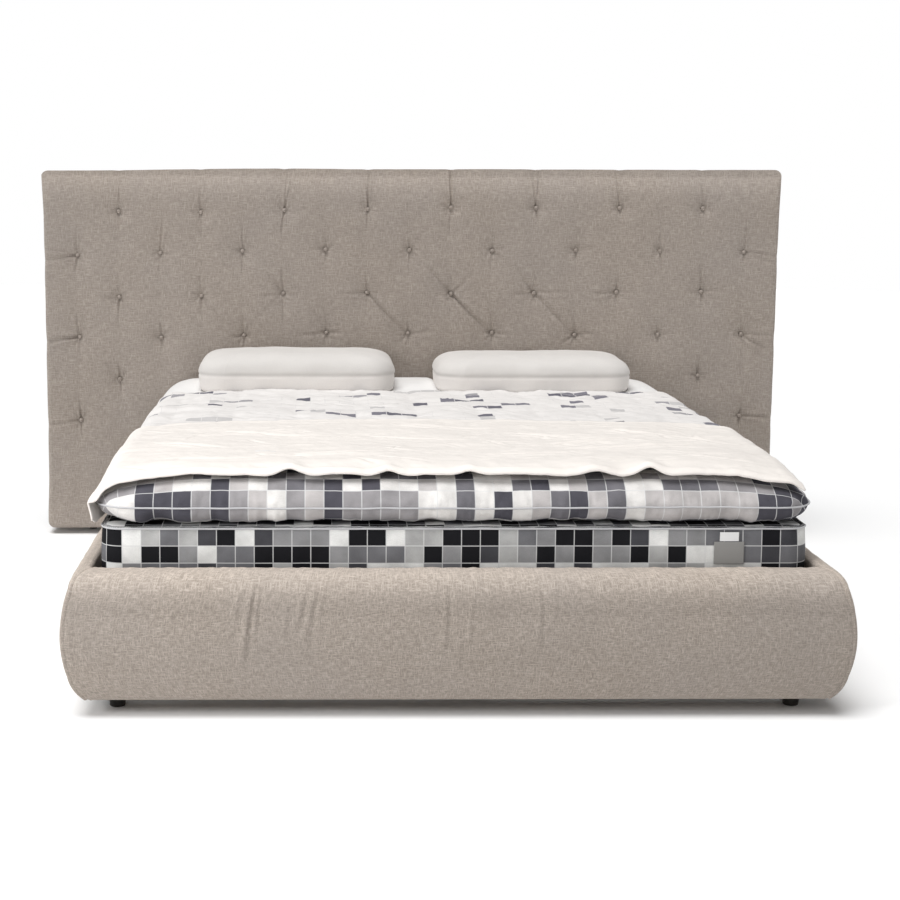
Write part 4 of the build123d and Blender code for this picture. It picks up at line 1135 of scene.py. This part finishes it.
def make_topper(materials):
    """Soft topper: two panels that taper to one piped seam, ruched along it."""
    low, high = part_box("topper_core")
    lower, upper, seam = topper_section()
    bottom, top = lower[0, 1], upper[-1, 1]
    under = np.array([[0.20, bottom + 0.001], [0.12, bottom], [0.085, bottom]])
    over = np.array([[0.14, top], [0.20, top], [0.27, top]])
    upper[0, 1] += 0.0004
    profile = np.concatenate([under, lower, upper, over])
    profile[:, 0] += 0.001
    level = len(under) + len(lower) - 1

    def relief(across, up, inset):
        away = np.abs(up - seam)
        ruche = 0.0048 * noise(across, up * 0.15, 0.034, 81) * smooth(away / 0.008) * bump(away - 0.020, 0.03)
        slant = across + up * 1.2 * noise(across, up * 0, 0.3, 86)
        fine = 0.0036 * noise(slant, up * 0.3, 0.013, 82) * smooth(away / 0.006) * bump(away - 0.014, 0.022)
        slack = rough(across, up, 0.22, 83) * 0.0050 * smooth(away / 0.02)
        gathers = 0.0045 * noise(across, up * 0, 0.045, 87) + 0.0020 * noise(across, up * 0, 0.017, 88)
        ruche = ruche + gathers * (up < seam) * smooth(away / 0.02)
        lines = 0.0012 * bump(away - 0.006, 0.002)
        hold = 1 - smooth((inset - 0.03) / 0.05)
        return (ruche + fine + slack) * hold - lines - 0.001 + 0.007 * bump(away, 0.022)

    points, across, up, ways, plan = swept_block("topper_cover_top", profile, TOPPER_CORNER, relief, 0.006)
    loop = across[:, 0].copy()
    ends = smooth(loop / 0.1) * smooth((loop[-1] - loop) / 0.1)
    wave = (0.0026 * noise(loop, loop * 0, 0.20, 84) + 0.0010 * noise(loop, loop * 0, 0.05, 85)) * ends
    points[..., 2] += wave[:, None] * bump(up - seam, 0.03)
    share = smooth((points[..., 2] - seam) / (top - seam))
    points[..., 2] -= topper_sag(points[..., 0], points[..., 1]) * share
    points[..., 0] *= TOPPER_SPREAD
    run, inset = lengths(profile), profile[:, 0]
    from_below = run - (inset[0] - inset)
    from_above = run[-1] - run - (inset[-1] - inset)
    plan = plan * np.array([TOPPER_SPREAD, 1.0])
    seam_y = plan[0, level, 1]
    bottom_shift = np.array([0.0, from_below[level] - seam_y])
    top_shift = np.array([0.0, from_above[level] - seam_y])
    is_lower = np.arange(len(run)) <= level
    extra = np.where(is_lower, from_below, from_above)
    uv = plan + ways[:, None, :] * extra[None, :, None]
    uv = uv + np.where(is_lower[None, :, None], bottom_shift, top_shift)
    piece = block_mesh("topper_ticking", points, uv, (low + high) / 2, top, bottom, top_shift, bottom_shift)
    nodes = ("topper_cover_top", "topper_cover_bottom", "topper_core")
    dress(piece, materials["topper_ticking"], "topper", "ticking", *nodes)
    line = points[:-1, level].copy()
    line[:, :2] += ways[:-1] * 0.0016
    piping = tube("topper_piping_run", line, PIPING, closed=True)
    dress(piping, materials["piping"], "topper", "piping", "topper_piping")


def make_label(materials):
    """A plain sewn-on tag with a stitched edge, and the small tab it hangs from."""
    low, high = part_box("mattress_label")
    split = low.z + TAG_HEIGHT
    front = low.y - 0.0012
    middle = (low.x + high.x) / 2
    tag = ("mattress_tag", low.z, split, (high.x - low.x) / 2, "label")
    tab = ("mattress_tab", high.z - TAB_HEIGHT, high.z, TAB_HALF_WIDTH, "tab")
    for name, z0, z1, half, slot in (tag, tab):
        xs, zs = np.linspace(-half, half, 40), np.linspace(z0, z1, 30)
        gx, gz = np.meshgrid(xs, zs, indexing="ij")
        edge = np.minimum(half - np.abs(gx), np.minimum(gz - z0, z1 - gz))
        curl = 0.0012 * (gx / half) ** 2 + 0.0006 * rough(gx, gz, 0.03, 91)
        thread = 0.4 + 0.6 * np.cos(2 * math.pi * (gx + gz) / 0.003) ** 2
        stitch = 0.0004 * bump(edge - 0.0035, 0.0007) * thread
        points = np.stack([gx + middle, front - 0.0006 + curl * 0.3 + stitch, gz], -1)
        piece = grid_object(name, points, np.stack([gx, gz], -1))
        thicken(piece, 0.0009)
        dress(piece, materials[slot], "mattress", "label", *(["mattress_label"] if slot == "label" else []))


# ------------------------------------------------------------------ bedding
def make_pillow(node, materials, seed, loft):
    """A firm pillow: a low band round its foot, and a crowned panel sewn to it."""
    low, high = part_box(node)
    centre = (low + high) / 2
    half = (high - low) / 2
    height = (high.z - low.z) * loft
    seam = 0.44 * height
    turn = np.linspace(0, math.pi / 2, 22)
    shoulder = half.y * 0.62 * (1 - np.cos(turn)) ** 1.25
    crown = np.stack([shoulder, seam + (height * 0.97 - seam) * np.sin(turn)], 1)
    foot = [(0.60, 0.0), (0.30, 0.0), (0.12, 0.0004), (0.055, 0.0035)]
    band = straight((0.0038, 0.012), (0.0, seam), 9)
    profile = np.concatenate([
        np.array([(share * half.y, z) for share, z in foot]),
        band,
        crown[1:],
        np.array([[half.y * 0.78, height * 0.985], [half.y * 0.90, height * 0.994]]),
    ])
    plan = rounded_path(half.x, half.y, (0, 0), PILLOW_CORNER, 0.009)[0]
    run = lengths(plan)
    inset, z = profile[:, 0], profile[:, 1]
    shrink = 1 - inset[None, :, None] / np.array([half.x, half.y])[None, None, :]
    points = np.empty((len(plan), len(profile), 3))
    points[..., :2] = plan[:, None, :] * shrink
    points[..., 2] = z[None, :]
    x, y = points[..., 0], points[..., 1]
    out = normals(points)
    out = out * np.sign(np.sum(out * (points - np.array([0, 0, height / 2])), axis=2, keepdims=True))
    over = y + z[None, :]
    relief = 0.0040 * rough(x + seed, over, 0.17, seed) + 0.0010 * rough(x, over, 0.045, seed + 5)
    near_seam = z[None, :] - seam + 0 * x
    relief = relief - 0.0026 * bump(near_seam, 0.0035) + 0.0010 * bump(near_seam - 0.012, 0.008)
    gathers = noise(run[:, None] + 0 * x, near_seam, 0.030, seed + 9)
    relief = relief + 0.0012 * gathers * bump(near_seam, 0.03)
    relief = relief * smooth(z[None, :] / 0.02) * (1 - smooth((inset[None, :] / half.y - 0.5) / 0.4))
    relief = relief * smooth((run[-1] - run) / 0.05)[:, None]
    points = points + out * relief[..., None]
    points[-1] = points[0]
    points[..., 2] = np.clip(points[..., 2], 0.0, None)
    points = points + np.array([centre.x, centre.y, low.z])
    rise = lengths(profile) - lengths(profile)[len(foot) + len(band) - 1]
    uv = np.stack([np.repeat(run[:, None], len(profile), 1), np.repeat(rise[None, :], len(plan), 0)], -1)
    piece = block_mesh(f"{node}_case", points, uv, centre, low.z + height, low.z)
    dress(piece, materials["pillow_cotton"], node, "pillow_cotton", node)


def over_topper(first, x_left, x_right, bend, crown):
    """A line over the topper by its run from the left bend's start: x, z, and 1 where it hangs."""
    quarter = bend * math.pi / 2
    left = np.clip(first / bend, 0, math.pi / 2)
    flat_run = x_right - x_left - 2 * bend
    flat = np.clip(first - quarter, 0, flat_run)
    last = first - quarter - flat_run
    right = np.clip(last / bend, 0, math.pi / 2)
    x = x_left + bend * (1 - np.cos(left)) + flat + bend * np.sin(right)
    down = bend * (1 - np.sin(left)) + np.clip(-first, 0, None)
    down = down + bend * (1 - np.cos(right)) + np.clip(last - quarter, 0, None)
    hang = np.maximum(1 - smooth(first / bend + 0.5), smooth(last / bend - 0.6))
    return x, crown - down, hang


def over_width(x_left, x_right, bend):
    """The run of a cloth from one side over to the other, without what hangs."""
    return x_right - x_left + (math.pi - 2) * bend


def laid_cloth(name, material, body, slot, surface, thickness, flat, held, rests_on, *nodes):
    """A finished sheet piece from its upper surface, given as x, y, z and the two runs over the cloth."""
    x, y, z, across, along = surface
    piece = grid_object(name, np.stack([x, y, z], -1), np.stack([across, along], -1))
    thicken(piece, thickness, -1.0)
    dress(piece, material, body, slot, *nodes)
    return piece


def small_creases(x, y, across, along, count, seed):
    """Many short shallow creases lying about a cloth, mostly across the bed, as a height."""
    rng = np.random.default_rng(seed)
    out = np.zeros_like(x)
    for _ in range(count):
        start = np.array([rng.uniform(*across), rng.uniform(*along)])
        turn = rng.normal(0, 0.45)
        length = rng.uniform(0.06, 0.20)
        end = start + length * np.array([math.cos(turn), math.sin(turn)])
        width = rng.uniform(0.0035, 0.0060)
        out = out + rng.uniform(0.0016, 0.0036) * crease(x, y, start, end, width, rng.uniform(-0.010, 0.010))
    return out


def make_duvet(materials):
    """The quilt: thin, puffed and creased, from the throw up to the pillows and over both sides."""
    low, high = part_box("duvet")
    half, bend, drop = 0.907, 0.072, 0.040
    width = 2 * drop + over_width(-half, half, bend)
    length = high.y - low.y
    gs, gy = np.meshgrid(np.linspace(0, width, 250), np.linspace(0, length, 190), indexing="ij")
    x, z, hang = over_topper(gs - drop, -half, half, bend, high.z - 0.004)
    y = low.y + gy
    flat = 1 - hang
    z = z - topper_sag(x, y) * flat
    cell = np.abs(np.sin(math.pi * gs / 0.19) * np.sin(math.pi * gy / 0.19)) ** 0.6
    z = z + 0.006 * cell * flat + 0.0045 * rough(gs, gy, 0.20, 101) * (0.3 + flat)
    z = z + (0.0040 * rough(gs, gy, 0.055, 102) + 0.0016 * rough(gs, gy, 0.02, 103)) * (0.2 + flat)
    z = z + 0.0030 * noise(gs * 0.35 + gy * 0.2, gy, 0.030, 104) * flat
    z = z + small_creases(x, y, (-0.86, 0.86), (-0.10, 0.62), 70, 107) * flat
    for x0, y0, x1, y1, depth in DUVET_FOLDS:
        z = z + 1.3 * depth / 1000 * crease(x, y, (x0, y0), (x1, y1), 0.008, 0.006)
    y = y + 0.012 * noise(gs, gs * 0, 0.15, 105) * smooth((gy - length + 0.2) / 0.2)
    x = x + (0.006 * noise(y, y * 0, 0.17, 106) + 0.005 * noise(y, y * 0, 0.06, 107)) * hang * np.sign(x)
    edge = np.minimum(gy, length - gy)
    z = z - 0.006 * (1 - smooth(edge / 0.025))
    laid_cloth("duvet_cloth", materials["duvet_cotton"], "duvet", "duvet_cotton", (x, y, z, gs, gy),
               DUVET_THICKNESS, (width, length), "draped", ["topper_ticking"], "duvet")


# Fold lines on the duvet, as (x, y) of each end and depth in mm.
DUVET_FOLDS = [
    (-0.30, 0.30, -0.02, 0.12, 4), (-0.25, 0.42, 0.05, 0.50, 4), (0.10, 0.20, 0.30, 0.02, 4),
    (0.45, 0.45, 0.70, 0.25, 5), (0.62, 0.10, 0.85, 0.28, 5), (-0.62, 0.48, -0.85, 0.30, 5),
    (-0.70, 0.10, -0.45, 0.30, 4), (0.00, 0.50, 0.20, 0.36, 4), (0.30, 0.52, 0.52, 0.56, 3),
    (-0.55, 0.02, -0.30, -0.04, 4), (0.78, 0.50, 0.90, 0.40, 5), (-0.15, 0.05, 0.02, 0.20, 3),
]


def pressed(x, y):
    """1 where a pillow presses on the sheet, 0 away from both."""
    out = np.zeros_like(x)
    for node in ("pillow_left", "pillow_right"):
        low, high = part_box(node)
        outside = np.maximum(np.maximum(low.x - x, x - high.x), np.maximum(low.y - y, y - high.y))
        out = np.maximum(out, 1 - smooth((outside + 0.035) / 0.05))
    return out


def make_sheet(materials):
    """The plain fitted sheet that shows round the pillows and puffs up between them."""
    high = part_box("topper_core")[1]
    half, bend, drop = 0.916, 0.072, 0.055
    width = 2 * drop + over_width(-half, half, bend)
    start, back = high.y - 0.52, 0.022
    length = high.y + 0.003 - start
    gs, gy = np.meshgrid(np.linspace(0, width, 220), np.linspace(0, length, 90), indexing="ij")
    x, z, hang = over_topper(gs - drop, -half, half, bend, high.z + 0.0045)
    y = start + gy
    flat = 1 - hang
    over = back * (1 - smooth((length - gy) / back)) ** 1.6
    puff = 0.017 * smooth((y - high.y + 0.36) / 0.2) * (1 - pressed(x, y)) * smooth((0.90 - np.abs(x)) / 0.1)
    z = z - topper_sag(x, y) * flat - over + puff + 0.0020 * rough(gs, gy, 0.10, 111) * flat
    x = x + 0.002 * noise(gy, gy * 0, 0.04, 112) * hang
    laid_cloth("fitted_sheet", materials["sheet_cotton"], "topper", "duvet_cotton", (x, y, z, gs, gy),
               SHEET_THICKNESS, (width, length), "stretched", ["topper_ticking"])


# Arches of the throw's foot hem, as (x, half width, rise).
ARCHES = [(-0.42, 0.030, 0.0140), (-0.17, 0.026, 0.0100), (0.035, 0.024, 0.0070), (0.355, 0.034, 0.0085),
          (0.490, 0.030, 0.0160), (-0.66, 0.040, 0.0030), (0.72, 0.035, 0.0035)]


def make_throw(materials):
    """The coverlet, laid a little askew: its left hem hangs, its foot hem buckles into small arches."""
    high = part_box("throw")[1]
    upper = topper_section()[1]
    topper_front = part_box("topper_core")[0].y
    left, right, bend = -0.911, 0.905, 0.068
    drop_head, drop_foot = 0.030, 0.092
    width = drop_foot + over_width(left, right, bend) - 0.070
    front, head = topper_front + 0.026, high.y + 0.040
    length = head - front
    gs, gt = np.meshgrid(np.linspace(0, width, 320), np.linspace(0, length, 140), indexing="ij")
    askew = gt / length
    drop = drop_foot + (drop_head - drop_foot) * askew
    drop = drop - 0.020 * (1 - smooth(gt / 0.05))
    x, z, hang = over_topper(gs - drop, left, right, bend, high.z + 0.002)
    x = x + 0.014 * smooth((drop - gs) / 0.075)
    flat = 1 - hang
    y = front + gt
    inset = np.maximum(y - topper_front, 0)
    section = np.interp(inset, upper[:, 0], upper[:, 1])
    z = z - (upper[-1, 1] - section) * (0.2 + 0.8 * flat) - topper_sag(x, y) * flat
    near_foot = bump(gt, 0.05)
    for middle, half_width, rise in ARCHES:
        z = z + rise * bump(x - middle, half_width) * near_foot * flat
        z = z - 0.25 * rise * bump(np.abs(x - middle) - 2.2 * half_width, half_width) * near_foot * flat
        y = y + 0.35 * rise * bump(x - middle, half_width) * near_foot * flat
    y = y + 0.006 * noise(gs, gs * 0, 0.11, 125) * (1 - smooth(gt / 0.15)) * flat
    at_head = smooth((gt - length + 0.25) / 0.25)
    y = y + (0.010 * noise(gs, gs * 0, 0.22, 126) - 0.085 * np.abs(x / 0.87) ** 3) * at_head
    slack = 0.0028 * rough(gs * 0.35, gt, 0.045, 121) + 0.0044 * rough(gs, gt, 0.21, 122)
    z = z + (slack + 0.0012 * rough(gs, gt, 0.018, 123)) * (0.15 + flat)
    z = z + small_creases(x, y, (-0.86, 0.88), (-0.95, -0.24), 120, 128) * flat
    for x0, y0, x1, y1, depth in THROW_FOLDS:
        z = z + 1.2 * depth / 1000 * crease(x, y, (x0, y0), (x1, y1), 0.008, 0.010)
    x = x - (noise(gt, gt * 0, 0.13, 127) * 0.004 + 0.020 * bump(gt, 0.13)) * hang * (x < 0)
    edge = np.minimum(gt, length - gt)
    z = z + 0.0030 * bump(edge - 0.014, 0.008) * flat - 0.0035 * (1 - smooth(edge / 0.010)) * flat
    laid_cloth("throw_cloth", materials["throw_cotton"], "throw", "throw_cotton", (x, y, z, gs, gt),
               THROW_THICKNESS, (width, length), "draped", ["duvet_cloth", "topper_ticking"], "throw")


# Fold lines on the throw, as (x, y) of each end and depth in mm.
THROW_FOLDS = [
    (0.30, -0.62, 0.62, -0.48, 6), (0.36, -0.70, 0.74, -0.60, 5), (0.50, -0.40, 0.86, -0.62, 5),
    (0.10, -0.80, 0.44, -0.72, 5), (-0.20, -0.50, 0.12, -0.56, 4), (-0.62, -0.42, -0.30, -0.50, 4),
    (-0.80, -0.60, -0.52, -0.70, 4), (-0.40, -0.80, -0.12, -0.74, 5), (0.60, -0.82, 0.86, -0.88, 5),
    (-0.10, -0.30, 0.24, -0.36, 3), (0.42, -0.30, 0.66, -0.34, 4), (-0.70, -0.86, -0.46, -0.82, 4),
    (0.20, -0.44, 0.40, -0.52, 4), (0.70, -0.50, 0.88, -0.44, 5),
]


# ------------------------------------------------------------------ frame nodes that keep their CAD shape
def finish_cad_nodes(materials):
    """Better materials on the CAD nodes that stay."""
    slots = {entry["node"]: entry["material_slot"] for entry in frame["record"]["subparts"]}
    for name, piece in frame["nodes"].items():
        if piece.hide_render:
            continue
        material = materials[slots[name]]
        if not piece.material_slots:
            piece.data.materials.append(material)
        for holder in piece.material_slots:
            holder.material = material


# ------------------------------------------------------------------ studio
def make_studio():
    """White floor and glowing surround, a broad soft light from above and a weaker one from the left."""
    reach, rim, count = 16.0, 3.6, 96
    turns = np.linspace(0, 2 * math.pi, count, endpoint=False)
    ring = [(reach * math.cos(t), reach * math.sin(t)) for t in turns]
    floor = mesh_object("floor", [(x, y, 0) for x, y in ring], [list(range(count))])
    s = Shader("floor", roughness=0.95, specular=0.05)
    s.bsdf.inputs["Base Color"].default_value = (0.93, 0.93, 0.93, 1)
    floor.data.materials.append(s.material)
    wall = mesh_object(
        "surround",
        [(x, y, -0.01) for x, y in ring] + [(x, y, rim) for x, y in ring],
        [[i, (i + 1) % count, (i + 1) % count + count, i + count] for i in range(count)],
    )
    s = Shader("surround", roughness=1.0, specular=0.0)
    s.bsdf.inputs["Base Color"].default_value = (0, 0, 0, 1)
    s.bsdf.inputs["Emission Color"].default_value = (1, 1, 1, 1)
    s.bsdf.inputs["Emission Strength"].default_value = 1.0
    wall.data.materials.append(s.material)

    world = bpy.data.worlds.new("studio")
    world.use_nodes = True
    world.node_tree.nodes["Background"].inputs[0].default_value = (1, 1, 1, 1)
    world.node_tree.nodes["Background"].inputs[1].default_value = 0.14
    bpy.context.scene.world = world

    key = bpy.data.lights.new("key", "SUN")
    key.energy = 2.95
    key.angle = math.radians(42)
    side = bpy.data.lights.new("side", "AREA")
    side.shape = "DISK"
    side.size = 1.3
    side.energy = 25
    side.spread = math.radians(115)
    aims = [(key, (-1.0, -1.1, 6.0), (0, 0, 0)), (side, (-2.7, -3.1, 1.7), (-0.3, -1.2, 0.2))]
    for light, place, target in aims:
        lamp = bpy.data.objects.new(light.name, light)
        lamp.visible_camera = False
        lamp.location = place
        lamp.rotation_euler = (Vector(target) - Vector(place)).to_track_quat("-Z", "Y").to_euler()
        bpy.context.scene.collection.objects.link(lamp)
    bpy.context.scene.view_settings.view_transform = "Standard"
    bpy.context.scene.view_settings.look = "None"


def make_camera():
    """The camera stands past the foot end, to the left of the middle, at eye height and tilted down."""
    yaw, pitch, roll = 0.0147, 0.1387, 0.0028
    right = Vector((math.cos(yaw), -math.sin(yaw), 0))
    ahead = Vector((math.sin(yaw), math.cos(yaw), 0))
    up = Vector((0, 0, 1))
    look = ahead * math.cos(pitch) - up * math.sin(pitch)
    lift = up * math.cos(pitch) + ahead * math.sin(pitch)
    across = right * math.cos(roll) + lift * math.sin(roll)
    over = lift * math.cos(roll) - right * math.sin(roll)
    data = bpy.data.cameras.new("camera")
    data.sensor_width = 36.0
    data.lens = 66.08
    data.shift_x = 0.1222
    data.shift_y = -0.0444
    data.clip_end = 200
    camera = bpy.data.objects.new("camera", data)
    turn = Matrix((across, over, -look)).transposed().to_4x4()
    camera.matrix_world = Matrix.Translation(EYE) @ turn
    bpy.context.scene.collection.objects.link(camera)
    bpy.context.scene.camera = camera


# ------------------------------------------------------------------ the bed
materials = make_materials()
buttons = make_headboard(materials)
make_buttons(materials, buttons)
make_back_cloth(materials)
make_frame_upholstery(materials)
make_mattress(materials)
make_topper(materials)
make_label(materials)
make_sheet(materials)
make_pillow("pillow_left", materials, 131, 1.04)
make_pillow("pillow_right", materials, 141, 0.95)
make_duvet(materials)
make_throw(materials)
finish_cad_nodes(materials)
make_studio()
make_camera()
